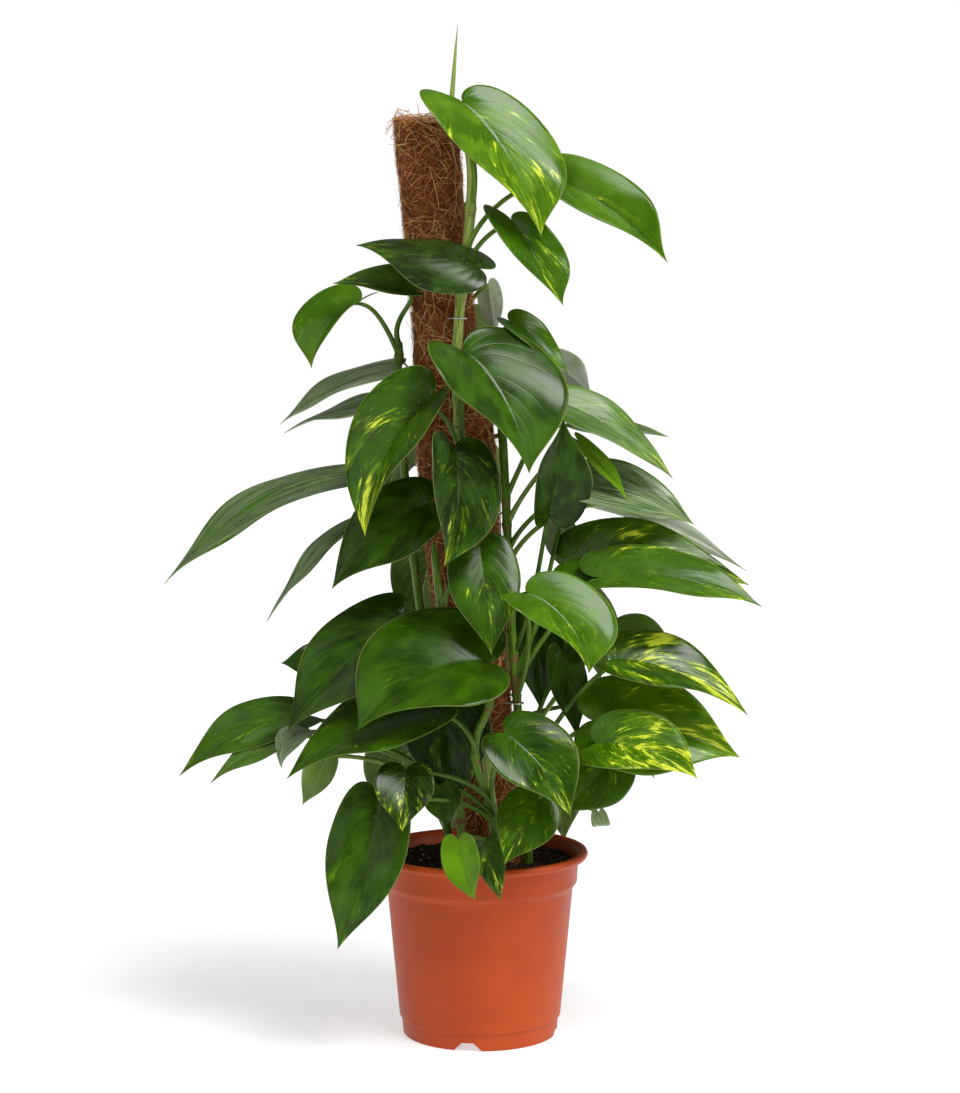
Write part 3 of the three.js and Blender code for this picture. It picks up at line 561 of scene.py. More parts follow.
def leaf_underside():
    made = Finish("leaf_underside", Roughness=0.45, Specular_IOR_Level=0.25)
    along, wide = made.uv()
    across = made.sum("ABSOLUTE", made.sum("MULTIPLY_ADD", wide, 2.0, -1.0))
    side, rib = vein_lines(made, along, across)
    cloud = made.grain(made.spot(), 50.0, 3.0)
    tone = made.sum("ADD", made.value("tone"), made.range(cloud, 0.3, 0.7, -0.2, 0.2))
    green = made.mix(made.range(tone, 0.0, 1.0), colour(62, 92, 22), colour(112, 142, 40))
    # painted sheen: grey-white where the underside reflects the light, with some pale leaf colour in it
    painted_sheen = made.sum("MULTIPLY", made.value("sheen_and_bark"), made.range(cloud, 0.25, 0.6, 0.4, 1.0))
    green = made.mix(painted_sheen, green, colour(186, 194, 176))
    green = made.mix(made.sum("MULTIPLY", side, 0.4), green, colour(160, 180, 96))
    green = made.mix(made.sum("MULTIPLY", rib, 0.8), green, colour(170, 188, 96))
    made.paint("Base Color", green)
    made.roughen(cloud, 0.42, 0.6)
    fine = made.sum("MULTIPLY", made.grain(made.spot(), 700.0, 2.0), 0.4)
    made.bump(made.sum("MULTIPLY_ADD", side, 0.8, fine), 0.35, 0.0005)
    return made.material


def leaf_stalk():
    made = Finish("leaf_stalk", Roughness=0.4, Specular_IOR_Level=0.28)
    run, way = made.uv()
    shift = made.sum("MULTIPLY", made.value("chance"), 23.0)
    streak = made.vector(made.sum("MULTIPLY", run, 0.35), made.sum("MULTIPLY", way, 7.0), shift)
    lines = made.grain(streak, 1.6, 3.0, 0.6)
    tone = made.sum("ADD", made.value("tone"), made.range(lines, 0.3, 0.7, -0.3, 0.3))
    green = made.mix(made.range(tone, 0.0, 0.6), colour(30, 58, 6), colour(84, 122, 20))
    green = made.mix(made.range(tone, 0.55, 1.2), green, colour(160, 176, 88))
    scurf = made.range(made.grain(made.spot(), 160.0, 4.0, 0.7), 0.4, 0.75, -0.25, 0.35)
    # on stems, stalks and roots this value is bark, the stems' own brown; on blades it is a painted sheen
    bark = made.sum("ADD", made.value("sheen_and_bark"), scurf)
    brown = made.mix(lines, colour(74, 46, 24), colour(150, 112, 66))
    green = made.mix(made.range(bark, 0.35, 0.75), green, brown)
    made.paint("Base Color", green)
    made.paint("Roughness", made.range(bark, 0.2, 0.8, 0.36, 0.8))
    made.bump(made.sum("MULTIPLY_ADD", made.grain(made.spot(), 420.0, 3.0), 0.5, lines), 0.4, 0.0006)
    return made.material


def pot_plastic():
    made = Finish("pot_plastic", Roughness=0.45, Specular_IOR_Level=0.25)
    spot = made.spot()
    cloud = made.grain(spot, 14.0, 3.0, 0.55)
    flow = made.grain(made.stretch(spot, (1.0, 1.0, 22.0)), 9.0, 3.0, 0.6)
    red = made.mix(made.range(cloud, 0.3, 0.7), colour(170, 62, 12), colour(182, 72, 18))
    red = made.mix(made.range(flow, 0.35, 0.75, 0.0, 0.25), red, colour(162, 56, 10))
    dust = made.range(made.grain(spot, 85.0, 5.0, 0.7), 0.6, 0.8, 0.0, 0.1)
    red = made.mix(dust, red, colour(204, 118, 66))
    made.paint("Base Color", red)
    made.roughen(cloud, 0.36, 0.5)
    fine = made.grain(spot, 1500.0, 2.0)
    made.bump(made.sum("MULTIPLY_ADD", flow, 0.6, made.sum("MULTIPLY", fine, 0.25)), 0.12, 0.0005)
    return made.material


def soil_dark():
    made = Finish("soil_dark", Roughness=0.95, Specular_IOR_Level=0.25)
    spot = made.spot()
    crumb = made.grain(spot, 320.0, 5.0, 0.7)
    cloud = made.grain(spot, 45.0, 3.0)
    brown = made.mix(made.range(crumb, 0.35, 0.7), colour(26, 15, 8), colour(72, 50, 34))
    brown = made.mix(made.range(cloud, 0.35, 0.7, 0.0, 0.5), brown, colour(42, 26, 15))
    made.paint("Base Color", brown)
    made.roughen(crumb, 0.85, 1.0)
    made.bump(crumb, 0.8, 0.002)
    return made.material


def soil_grit():
    made = Finish("soil_grit", Roughness=0.85)
    spot = made.spot()
    crumb = made.grain(spot, 900.0, 3.0, 0.6)
    pale = made.mix(made.value("shade"), colour(96, 78, 58), colour(212, 204, 186))
    made.paint("Base Color", made.mix(made.range(crumb, 0.3, 0.7, 0.0, 0.4), pale, colour(120, 104, 84)))
    made.roughen(crumb, 0.75, 0.95)
    made.bump(crumb, 0.5, 0.0004)
    return made.material


def coir_mat():
    made = Finish("coir_mat", Roughness=0.95, Specular_IOR_Level=0.2)
    spot = made.spot()
    one = made.grain(made.stretch(spot, (1.0, 1.0, 5.0)), 260.0, 4.0, 0.7, 1.2)
    two = made.grain(made.stretch(spot, (3.0, 3.0, 0.7)), 240.0, 4.0, 0.7, 1.6)
    strands = made.sum("MAXIMUM", one, two)
    # painted shade: the dark end stands for the gaps between fibres, where shade falls, along with the
    # fibres' own dark brown
    red = made.mix(made.range(strands, 0.4, 0.75), colour(60, 28, 8), colour(172, 98, 42))
    cloud = made.grain(spot, 28.0, 2.0)
    red = made.mix(made.range(cloud, 0.35, 0.7, 0.0, 0.45), red, colour(112, 62, 24))
    made.paint("Base Color", red)
    made.roughen(strands, 0.85, 1.0)
    made.bump(strands, 0.9, 0.0022)
    return made.material


def coir_strand():
    made = Finish("coir_strand", Roughness=0.7, Specular_IOR_Level=0.35)
    shade = made.value("shade")
    patch = made.grain(made.spot(), 55.0, 2.0)
    lit = made.sum("ADD", shade, made.range(patch, 0.3, 0.7, -0.2, 0.2))
    brown = made.mix(made.range(lit, 0.0, 0.7), colour(124, 58, 16), colour(196, 122, 56))
    brown = made.mix(made.range(lit, 0.6, 1.0), brown, colour(228, 182, 118))
    made.paint("Base Color", brown)
    made.roughen(patch, 0.6, 0.8)
    made.bump(made.grain(made.spot(), 1400.0, 2.0), 0.3, 0.0003)
    return made.material


def stake_wood():
    made = Finish("stake_wood", Roughness=0.75)
    spot = made.spot()
    rings = made.grain(made.stretch(spot, (9.0, 9.0, 0.5)), 22.0, 4.0, 0.6, 0.6)
    brown = made.mix(made.range(rings, 0.3, 0.7), colour(128, 94, 56), colour(186, 150, 102))
    made.paint("Base Color", brown)
    made.roughen(rings, 0.65, 0.85)
    made.bump(rings, 0.5, 0.0008)
    return made.material


def pin_wire_steel():
    made = Finish("pin_wire_steel", Roughness=0.32, Metallic=0.85)
    scratch = made.grain(made.spot(), 500.0, 4.0, 0.7)
    made.paint("Base Color", made.mix(scratch, colour(186, 184, 178), colour(228, 228, 224)))
    made.roughen(scratch, 0.25, 0.5)
    made.bump(scratch, 0.15, 0.0002)
    return made.material


def studio_floor():
    made = Finish("studio_floor", Roughness=0.9, Emission_Strength=FLOOR_GLOW)
    cloud = made.grain(made.spot(), 1.5, 2.0)
    made.paint("Base Color", made.mix(cloud, colour(184, 184, 184), colour(190, 190, 190)))
    made.paint("Emission Color", (1.0, 1.0, 1.0, 1.0))
    return made.material


# ---- node trees that repeat small things ----
class Tree:
    """A geometry tree with named inputs, and short calls to fill it."""

    def __init__(self, name, sizes):
        self.group = bpy.data.node_groups.new(name, "GeometryNodeTree")
        face = self.group.interface
        face.new_socket("Geometry", in_out="INPUT", socket_type="NodeSocketGeometry")
        for label, (kind, value) in sizes.items():
            face.new_socket(label, in_out="INPUT", socket_type="NodeSocket" + kind).default_value = value
        face.new_socket("Geometry", in_out="OUTPUT", socket_type="NodeSocketGeometry")
        self.given = self.group.nodes.new("NodeGroupInput")
        self.result = self.group.nodes.new("NodeGroupOutput")

    def node(self, kind, inputs=None, **settings):
        return new_node(self.group, kind, inputs or {}, settings)

    def size(self, label):
        return self.given.outputs[label]

    def chance(self, kind, low, high, seed):
        made = self.node("FunctionNodeRandomValue", {}, data_type=kind)
        mins = [s for s in made.inputs if s.name == "Min" and s.enabled][0]
        maxs = [s for s in made.inputs if s.name == "Max" and s.enabled][0]
        for socket, value in ((mins, low), (maxs, high), (made.inputs["Seed"], seed)):
            give(self.group, socket, value)
        return [s for s in made.outputs if s.enabled][0]

    def strewn(self):
        """Points strewn over the bed."""
        return self.node("GeometryNodeDistributePointsOnFaces", {
            "Mesh": self.size("Geometry"), "Density": self.size("Density"), "Seed": self.size("Seed"),
        })

    def shaded(self, instances, darkest, seed):
        """The instances, each told how light it is."""
        shade = self.chance("FLOAT", darkest, 1.0, seed)
        inputs = {"Geometry": instances, "Name": "shade", "Value": shade}
        kind = "GeometryNodeStoreNamedAttribute"
        return self.node(kind, inputs, data_type="FLOAT", domain="INSTANCE").outputs[0]

    def close(self, geometry, material):
        real = self.node("GeometryNodeRealizeInstances", {"Geometry": geometry})
        painted = self.node("GeometryNodeSetMaterial", {"Geometry": real.outputs[0], "Material": material})
        self.group.links.new(painted.outputs[0], self.result.inputs[0])


def grown(name, bed, tree, sizes):
    """The mesh that a tree makes on a bed, as a plain piece."""
    thing = stand(name, bed.copy())
    modifier = thing.modifiers.new("growth", "NODES")
    modifier.node_group = tree.group
    sockets = {s.name: s for s in tree.group.interface.items_tree if s.in_out == "INPUT"}
    for label, value in sizes.items():
        modifier[sockets[label].identifier] = value
    thing.data = settled(thing, modifier)
    thing.data.name = name
    return thing


def crumb_tree(material):
    """Rough little lumps scattered on a bed."""
    tree = Tree("crumbs", {
        "Density": ("Float", 1e5), "Smallest": ("Float", 0.0006), "Largest": ("Float", 0.002),
        "Seed": ("Int", 1),
    })
    dots = tree.strewn()
    ball = tree.node("GeometryNodeMeshIcoSphere", {"Radius": 1.0, "Subdivisions": 1})
    size = tree.chance("FLOAT", tree.size("Smallest"), tree.size("Largest"), 3)
    squeeze = tree.chance("FLOAT_VECTOR", (0.7, 0.6, 0.4), (1.3, 1.0, 0.9), 4)
    scale = tree.node("ShaderNodeVectorMath", {0: squeeze, "Scale": size}, operation="SCALE")
    turn = tree.chance("FLOAT_VECTOR", (-0.6, -0.6, 0.0), (0.6, 0.6, 6.28), 5)
    spin = tree.node("FunctionNodeEulerToRotation", {"Euler": turn})
    lumps = tree.node("GeometryNodeInstanceOnPoints", {
        "Points": dots.outputs["Points"], "Instance": ball.outputs["Mesh"],
        "Rotation": spin.outputs[0], "Scale": scale.outputs[0],
    })
    tree.close(tree.shaded(lumps.outputs[0], 0.0, 6), material)
    return tree


def strand_tree(material):
    """Bowed thin strands that lie on a bed, each with both ends in it."""
    tree = Tree("strands", {
        "Density": ("Float", 1e4), "Length": ("Float", 0.02), "Bow": ("Float", 0.004),
        "Lift": ("Float", 0.002), "Sink": ("Float", -0.002), "Thickness": ("Float", 0.0002),
        "Seed": ("Int", 1), "Darkest": ("Float", 0.0),
    })
    dots = tree.strewn()
    half = tree.node("ShaderNodeMath", {0: tree.size("Length"), 1: 0.5}, operation="MULTIPLY").outputs[0]
    back = tree.node("ShaderNodeMath", {0: half, 1: -1.0}, operation="MULTIPLY").outputs[0]
    start = tree.node("ShaderNodeCombineXYZ", {"X": back, "Z": tree.size("Sink")}).outputs[0]
    middle = tree.node("ShaderNodeCombineXYZ", {"Y": tree.size("Bow"), "Z": tree.size("Lift")}).outputs[0]
    end = tree.node("ShaderNodeCombineXYZ", {"X": half, "Z": tree.size("Sink")}).outputs[0]
    curve = tree.node("GeometryNodeCurveQuadraticBezier", {
        "Resolution": 7, "Start": start, "Middle": middle, "End": end,
    })
    section = tree.node("GeometryNodeCurvePrimitiveCircle", {
        "Resolution": 3, "Radius": tree.size("Thickness"),
    })
    strand = tree.node("GeometryNodeCurveToMesh", {
        "Curve": curve.outputs[0], "Profile Curve": section.outputs["Curve"], "Fill Caps": True,
    })
    spin = tree.chance("FLOAT", 0.0, 6.283, 8)
    tip = tree.chance("FLOAT", -0.35, 0.35, 9)
    euler = tree.node("ShaderNodeCombineXYZ", {"Y": tip, "Z": spin}).outputs[0]
    local = tree.node("FunctionNodeEulerToRotation", {"Euler": euler}).outputs[0]
    turned = tree.node("FunctionNodeRotateRotation", {
        "Rotation": dots.outputs["Rotation"], "Rotate By": local,
    }, rotation_space="LOCAL")
    scale = tree.chance("FLOAT_VECTOR", (0.5, 0.4, 0.5), (1.3, 1.6, 1.3), 11)
    laid = tree.node("GeometryNodeInstanceOnPoints", {
        "Points": dots.outputs["Points"], "Instance": strand.outputs[0],
        "Rotation": turned.outputs[0], "Scale": scale,
    })
    told = tree.shaded(laid.outputs[0], tree.size("Darkest"), 12)
    real = tree.node("GeometryNodeRealizeInstances", {"Geometry": told})
    where = tree.node("GeometryNodeInputPosition").outputs[0]
    stir = tree.node("ShaderNodeTexNoise", {"Vector": where, "Scale": 130.0, "Detail": 2.0})
    swing = {0: stir.outputs["Color"], 1: (0.5, 0.5, 0.5)}
    centred = tree.node("ShaderNodeVectorMath", swing, operation="SUBTRACT")
    push = tree.node("ShaderNodeVectorMath", {0: centred.outputs[0], "Scale": 0.0045}, operation="SCALE")
    moved = tree.node("GeometryNodeSetPosition", {"Geometry": real.outputs[0], "Offset": push.outputs[0]})
    tree.close(moved.outputs[0], material)
    return tree


# ---- the pot ----
def rounded(profile, cut):
    """The profile with each corner turned into a small arc."""
    made = [profile[0]]
    for before, corner, after in zip(profile, profile[1:], profile[2:]):
        before, corner, after = (np.array(p, float) for p in (before, corner, after))
        near = min(cut, np.linalg.norm(corner - before) * 0.4, np.linalg.norm(after - corner) * 0.4)
        a = corner + unit(before - corner) * near
        c = corner + unit(after - corner) * near
        for t in (0, 0.33, 0.67, 1):
            made.append(((1 - t) ** 2 * a + 2 * t * (1 - t) * corner + t * t * c).tolist())
    made.append(profile[-1])
    return made


def prism(outline, inner, outer, turn):
    """A cutter: an outline of [across, height] carried from inner to outer radius."""
    count = len(outline)
    points = [[x, -r, z] for r in (inner, outer) for x, z in outline]
    faces = [tuple(range(count)), tuple(reversed(range(count, 2 * count)))]
    faces += [(i, i + count, (i + 1) % count + count, (i + 1) % count) for i in range(count)]
    c, s = math.cos(turn), math.sin(turn)
    points = [[x * c - y * s, x * s + y * c, z] for x, y, z in points]
    return points, faces


def pot_cutters():
    mould = Mould()
    foot, top, height = NOTCHES["foot"], NOTCHES["top"], NOTCHES["height"]
    trapezoid = [[-foot, -1], [-foot, 0], [-top, height], [top, height], [foot, 0], [foot, -1]]
    for i in range(NOTCHES["count"]):
        turn = math.radians(NOTCHES["turn"] + i * 360 / NOTCHES["count"])
        points, faces = prism(trapezoid, NOTCHES["inner"], NOTCHES["outer"], turn)
        mould.add(points, faces, 0, np.zeros((len(points), 2)), NO_LOOK)
    for i in range(DRAINS["count"]):
        turn = (i + 0.5) * 2 * math.pi / DRAINS["count"]
        x, y = DRAINS["circle"] * math.sin(turn), -DRAINS["circle"] * math.cos(turn)
        radius, reach = DRAINS["radius"], DRAINS["reach"]
        points, faces = lathe([[0, -reach], [radius, -reach], [radius, reach], [0, reach]], DRAINS["sides"])
        points = points + [x, y, 0]
        mould.add(points, faces, 0, np.zeros((len(points), 2)), NO_LOOK)
    piece = mould.piece("pot_cutters", [])
    upright(piece.data)
    return piece


def upright(mesh):
    """Turns every face of a closed mesh outwards."""
    work = bmesh.new()
    work.from_mesh(mesh)
    bmesh.ops.recalc_face_normals(work, faces=work.faces)
    work.to_mesh(mesh)
    work.free()


def build_pot():
    outside = rounded(POT_OUTSIDE, POT_ROUNDING)
    inside = rounded(POT_INSIDE, POT_ROUNDING)
    points, faces = lathe([[0, 0]] + outside + inside + [[0, 2]], POT_SEGMENTS)
    body = plain_piece("pot_body", points, faces, points[:, [0, 2]] / 10, pot_plastic())
    cutters = pot_cutters()
    cut = body.modifiers.new("holes", "BOOLEAN")
    cut.object = cutters
    cut.operation = "DIFFERENCE"
    cut.solver = "EXACT"
    body.data = settled(body, cut)
    bpy.data.objects.remove(cutters)
    body.data.set_sharp_from_angle(angle=math.radians(POT_CREASE))
    finish_piece(body, ["pot"])


# ---- the soil ----
def soil_height(x, y):
    """Height of the top of the soil, with its broad lumps."""
    lump = SOIL["lumps"] * (np.sin(0.31 * x + 0.9) * np.cos(0.27 * y) + 0.5 * np.sin(0.17 * (x - y) + 2))
    return SOIL["top"] + lump


def soil_shape(points):
    top = points[:, 2] > SOIL["top"] - 1
    for i in np.nonzero(top)[0]:
        x, y, _ = points[i]
        rough = noise.fractal(Vector((x, y, 3)) * 0.16, 0.9, 2.0, 4) * SOIL["rough"]
        points[i, 2] = soil_height(x, y) + rough
    return points


def soil_profile():
    edge = lambda height: float(between(INNER_WALL, height)) - CLEAR
    floor, brim, top = POT_FLOOR + CLEAR, SOIL["top"] - SOIL["brim"], SOIL["top"]
    plug = [[0, SOIL_PLUG["height"]], [SOIL_PLUG["radius"], SOIL_PLUG["height"]]]
    wall = [[SOIL_PLUG["neck"], floor], [edge(floor), floor], [edge(brim), brim]]
    flat = [[radius, top] for radius in np.arange(SOIL["flat"], 1, -SOIL["step"])]
    return plug + wall + flat + [[0, top]]


def build_soil(dark, grit):
    points, faces = lathe(soil_profile(), SOIL["segments"], soil_shape)
    body = plain_piece("soil_body", points, faces, points[:, :2] / 10, dark)
    finish_piece(body, ["soil"])
    bed = soil_bed()
    crumbs = grown("soil_crumbs", bed, crumb_tree(dark), {"Density": 130000.0, "Largest": 0.0022, "Seed": 2})
    specks = grown("soil_specks", bed, crumb_tree(grit), {
        "Density": 9000.0, "Smallest": 0.0004, "Largest": 0.0014, "Seed": 7,
    })
    for thing in (crumbs, specks):
        finish_piece(thing, [])


def soil_bed():
    """The top of the soil between the pole and the wall, where crumbs lie."""
    rings, segments = np.arange(*CRUMB_BED["radii"]), CRUMB_BED["segments"]
    turn = round_angles(segments)
    points = [[r * math.cos(t), r * math.sin(t), 0] for r in rings for t in turn]
    points = np.array(points)
    points[:, 2] = soil_height(points[:, 0], points[:, 1])
    return ring_bed("soil_bed", points, len(rings), segments)


# ---- the pole ----
def coir_shape(points):
    top = COIR_RADII[-1][0]
    for i, (x, y, z) in enumerate(points):
        radius, angle = math.hypot(x, y), math.atan2(y, x)
        lump = COIR["lumps"] * (math.sin(3 * angle + z / 17) * 0.6 + math.sin(5 * angle - z / 29) * 0.4)
        where = Vector((x, y, z))
        lump += noise.fractal(where * 0.11, 0.9, 2.0, 3) * 1.5 + noise.noise(where * 0.03) * 1.2
        grow = 1 + lump / radius if radius > 18 else 1
        rise = 3 * math.sin(2 * angle + 1) * radius / 24 if z > top - 3 else 0
        points[i] = [x * grow + pole_x(z), y * grow, z + rise]
    return points


def coir_profile():
    foot, top = COIR["foot"], COIR_RADII[-1][0]
    heights = np.linspace(foot, top, round((top - foot) / COIR["step"]) + 1)
    profile = [[0, foot]] + [[float(between(COIR_RADII, z)), z] for z in heights]
    return profile + [[radius, top - below] for radius, below in COIR_TOP]


def lay_round(mesh, keep):
    """Draws strands that stand off the pole closer to it; keep is the share of their distance that stays."""
    points = np.empty(len(mesh.vertices) * 3)
    mesh.vertices.foreach_get("co", points)
    points = points.reshape(-1, 3) / MM
    axis = pole_x(points[:, 2])
    x, y = points[:, 0] - axis, points[:, 1]
    radius = np.hypot(x, y)
    surface = np.interp(points[:, 2], *np.array(COIR_RADII).T) + COIR_FUZZ
    laid = np.where(radius > surface, surface + (radius - surface) * keep, radius) / np.maximum(radius, 1e-6)
    points[:, 0], points[:, 1] = axis + x * laid, y * laid
    mesh.vertices.foreach_set("co", (points * MM).ravel())
    mesh.update()


def coir_end():
    """The top end of the pole, where the fibres fray."""
    top, segments, rings = COIR_RADII[-1][0], COIR_END["segments"], COIR_END["radii"]
    turn = round_angles(segments)
    points = [[pole_x(top) + r * math.cos(t), r * math.sin(t), top - 1] for r in rings for t in turn]
    return ring_bed("coir_end", points, len(rings), segments)


def build_coir():
    points, faces = lathe(coir_profile(), COIR["sectors"], coir_shape)
    body = plain_piece("coir_core", points, faces, points[:, [0, 2]] / 10, coir_mat())
    finish_piece(body, ["coir_wrap"])
    strand = strand_tree(coir_strand())
    kinds = {
        "coir_matted": {
            "Density": 50000.0, "Length": 0.026, "Bow": 0.006, "Lift": 0.005, "Thickness": 0.0002, "Seed": 3,
        },
        "coir_long": {
            "Density": 9000.0, "Length": 0.048, "Bow": 0.008, "Lift": 0.009, "Sink": -0.006,
            "Thickness": 0.00026, "Seed": 5, "Darkest": 0.5,
        },
        "coir_loose": {
            "Density": 1800.0, "Length": 0.028, "Bow": 0.01, "Lift": 0.012, "Sink": -0.002,
            "Thickness": 0.00014, "Seed": 8, "Darkest": 0.2,
        },
    }
    bare = body.data.copy()
    for name, sizes in kinds.items():
        strands = grown(name, bare, strand, sizes)
        lay_round(strands.data, COIR_KEEP[name])
        finish_piece(strands, [])
    frayed = grown("coir_frayed", coir_end(), strand, {
        "Density": 90000.0, "Length": 0.032, "Bow": 0.012, "Lift": 0.017, "Sink": -0.005,
        "Thickness": 0.00018, "Seed": 4, "Darkest": 0.1,
    })
    finish_piece(frayed, [])


# ---- the wire pins ----
def stem_point(stem, height):
    """The point of a stem's line at a height."""
    path = np.array([place(p) for p in STEMS[stem][1]])
    return np.array([np.interp(height, path[:, 2], path[:, i]) for i in range(3)])


def pin_path(stem, height):
    held = stem_point(stem, height)
    axis = pole_axis(held[2])
    out = unit(held - axis)
    side = np.cross([0, 0, 1], out)
    half = STEMS[stem][0] + PIN["wire"] + CLEAR + PIN["slack"]
    bite = float(between(COIR_RADII, held[2])) - PIN["bite"]
    turn = np.linspace(0, np.pi, PIN["steps"])
    bend = [held + side * half * math.cos(t) + out * half * math.sin(t) for t in turn]
    legs = [axis + out * bite + side * half * way for way in (1, -1)]
    return [legs[0], (legs[0] + bend[0]) / 2] + bend + [(legs[1] + bend[-1]) / 2, legs[1]]


def build_pins():
    steel = pin_wire_steel()
    for i, (stem, height) in enumerate(PINS):
        path = pin_path(stem, height)
        points, faces, spots = sweep(path, np.full(len(path), PIN["wire"]), PIN["sides"])
        finish_piece(plain_piece(f"pin_{i + 1}", points, faces, spots, steel), [f"wire_pin_{i + 1}"])


# ---- leaves ----
# Half of a blade's margin, as two cubic curves of [share of length, share of half width].
LOBE = [[0, 0], [-0.15, 0.1], [-0.22, 0.92], [0.27, 1]]
SIDE = [[0.27, 1], [0.6, 1.04], [0.78, 0.22], [1, 0]]
LOBE_SHARE = 0.4


def margin(s):
    """The margin of a heart-shaped blade: share of length and share of half width."""
    lobe = bezier(*LOBE, np.minimum(s / LOBE_SHARE, 1))
    side = bezier(*SIDE, np.maximum((s - LOBE_SHARE) / (1 - LOBE_SHARE), 0))
    edge = np.where((s < LOBE_SHARE)[..., None], lobe, side)
    return edge[..., 0], edge[..., 1]


def bent(turn, along):
    """A unit chord bent by a turn: how far along, how far up, and the slope there."""
    if abs(turn) < 1e-3:
        return along, np.zeros_like(along), np.zeros_like(along)
    half = turn / 2
    stretch = half / math.sin(half) / turn
    slope = half - turn * along
    return (math.sin(half) - np.sin(slope)) * stretch, (np.cos(slope) - math.cos(half)) * stretch, slope


def half_section(fold, curl, distance):
    """How far out and up a half blade reaches at a distance from the midrib."""
    if abs(curl) < 1e-3:
        return distance * math.cos(fold), distance * math.sin(fold)
    slope = fold - curl * distance
    return (math.sin(fold) - np.sin(slope)) / curl, (np.cos(slope) - math.cos(fold)) / curl


class Leaf:
    """One row of LEAVES as a blade: where it grows, how it is bent, and its look."""

    def __init__(self, row, number):
        self.stem, self.height, base, tip, face, form, bend, self.look = row
        self.start = place(base)
        chord = place(tip) - self.start
        self.size = np.linalg.norm(chord)
        self.along = chord / self.size
        turn, tilt = np.radians(face)
        up = np.array([math.sin(turn) * math.cos(tilt), -math.cos(turn) * math.cos(tilt), math.sin(tilt)])
        self.up = unit(up - self.along * up.dot(self.along))
        self.across = np.cross(self.up, self.along)
        self.width, self.fold, self.arch, self.curl = form
        self.sway, self.skew = bend
        self.wave = base[0]
        self.chance = (number * 0.618) % 1

    def points(self, s, v):
        """Points of the blade: s runs from the stalk (0) to the tip (1), v from margin (-1) to margin (1)."""
        along, wide = margin(s)
        side, share = np.where(v < 0, -1, 1), np.abs(v)
        half = self.width / 2
        rib = s**RIB_PACE
        out, lift = half_section(math.radians(self.fold), math.radians(self.curl) / half, wide * share * half)
        wave = WAVE * share**2 * wide * np.sin(9.7 * s + side + self.wave)
        flat = rib + (along - rib) * share**1.3 + self.skew * out * side
        x, y, slope = bent(math.radians(self.sway), flat)
        reach = x - out * side * np.sin(slope)
        beside = y + out * side * np.cos(slope)
        x, up, slope = bent(math.radians(self.arch), reach)
        raised = lift + wave
        places = (
            (x - raised * np.sin(slope))[..., None] * self.along
            + beside[..., None] * self.across
            + (up + raised * np.cos(slope))[..., None] * self.up
        )
        return self.start + self.size * places

    def relief(self, s, v):
        """How far the blade swells between its veins and sinks along them, in mm."""
        share = np.abs(v)
        _, wide = margin(s)
        scale = self.size / 100
        phase = (s - VEIN_SWEEP * share) * SIDE_VEINS
        swell = RELIEF["swell"] * np.cos(2 * np.pi * phase) * smooth(share, 0.03, 0.3)
        swell = swell * (1 - share**3) * smooth(s, 0.05, 0.2)
        off = share * wide * self.width / 2 * self.size
        groove = RELIEF["groove"] * np.exp(-((off / RELIEF["groove_width"]) ** 2))
        drift = RELIEF["drift"] * np.sin(5.3 * s + 11 * self.chance + 2.2 * v)
        drift = drift * np.sin(3.1 * v + 17 * self.chance) * share
        return (swell + groove + drift * (1 - share**4)) * scale * smooth(1 - s, 0.0, 0.15)


def blade_skin(leaf):
    """Points, faces, face finish (0 top, 1 underside) and UV of a closed blade."""
    rows, columns = BLADE_ROWS, BLADE_COLUMNS
    s, v = np.meshgrid(np.arange(1, rows) / rows, np.linspace(-1, 1, columns + 1), indexing="ij")
    s, v = np.concatenate([[0], s.ravel(), [1]]), np.concatenate([[0], v.ravel(), [0]])
    middle = leaf.points(s, v)
    at = lambda i, j: 1 + (i - 1) * (columns + 1) + j
    tip = len(s) - 1
    faces = []
    for j in range(columns):
        faces.append((0, at(1, j), at(1, j + 1)))
        faces += [(at(i, j), at(i + 1, j), at(i + 1, j + 1), at(i, j + 1)) for i in range(1, rows - 1)]
        faces.append((at(rows - 1, j), tip, at(rows - 1, j + 1)))
    normals = np.zeros_like(middle)
    for corner in faces:
        a, b, c = middle[corner[0]], middle[corner[1]], middle[corner[2]]
        normals[list(corner)] += np.cross(b - a, c - a)
    normals /= np.linalg.norm(normals, axis=1)[:, None]
    middle = middle + normals * leaf.relief(s, v)[:, None]
    edge = np.abs(v)
    thick = BLADE * (1 - MARGIN_THINNING * edge**6)[:, None] / 2
    off = edge * margin(s)[1] * leaf.width / 2 * leaf.size
    rib = RELIEF["rib"] * np.exp(-((off / RELIEF["rib_width"]) ** 2)) * (1 - s) ** 0.7
    rib = rib * smooth(s, 0.0, 0.1) * leaf.size / 100
    below = middle - normals * (thick + rib[:, None])
    count = len(s)
    skin = list(faces) + [tuple(i + count for i in reversed(face)) for face in faces]
    rim = [0] + [at(i, 0) for i in range(1, rows)] + [tip] + [at(i, columns) for i in range(rows - 1, 0, -1)]
    for i, a in enumerate(rim):
        b = rim[(i + 1) % len(rim)]
        skin.append((b, a, a + count, b + count))
    finish = [0] * len(faces) + [1] * len(faces) + [0] * len(rim)
    spots = np.stack([s, (v + 1) / 2], 1)
    return np.concatenate([middle + normals * thick, below]), skin, finish, np.concatenate([spots, spots])


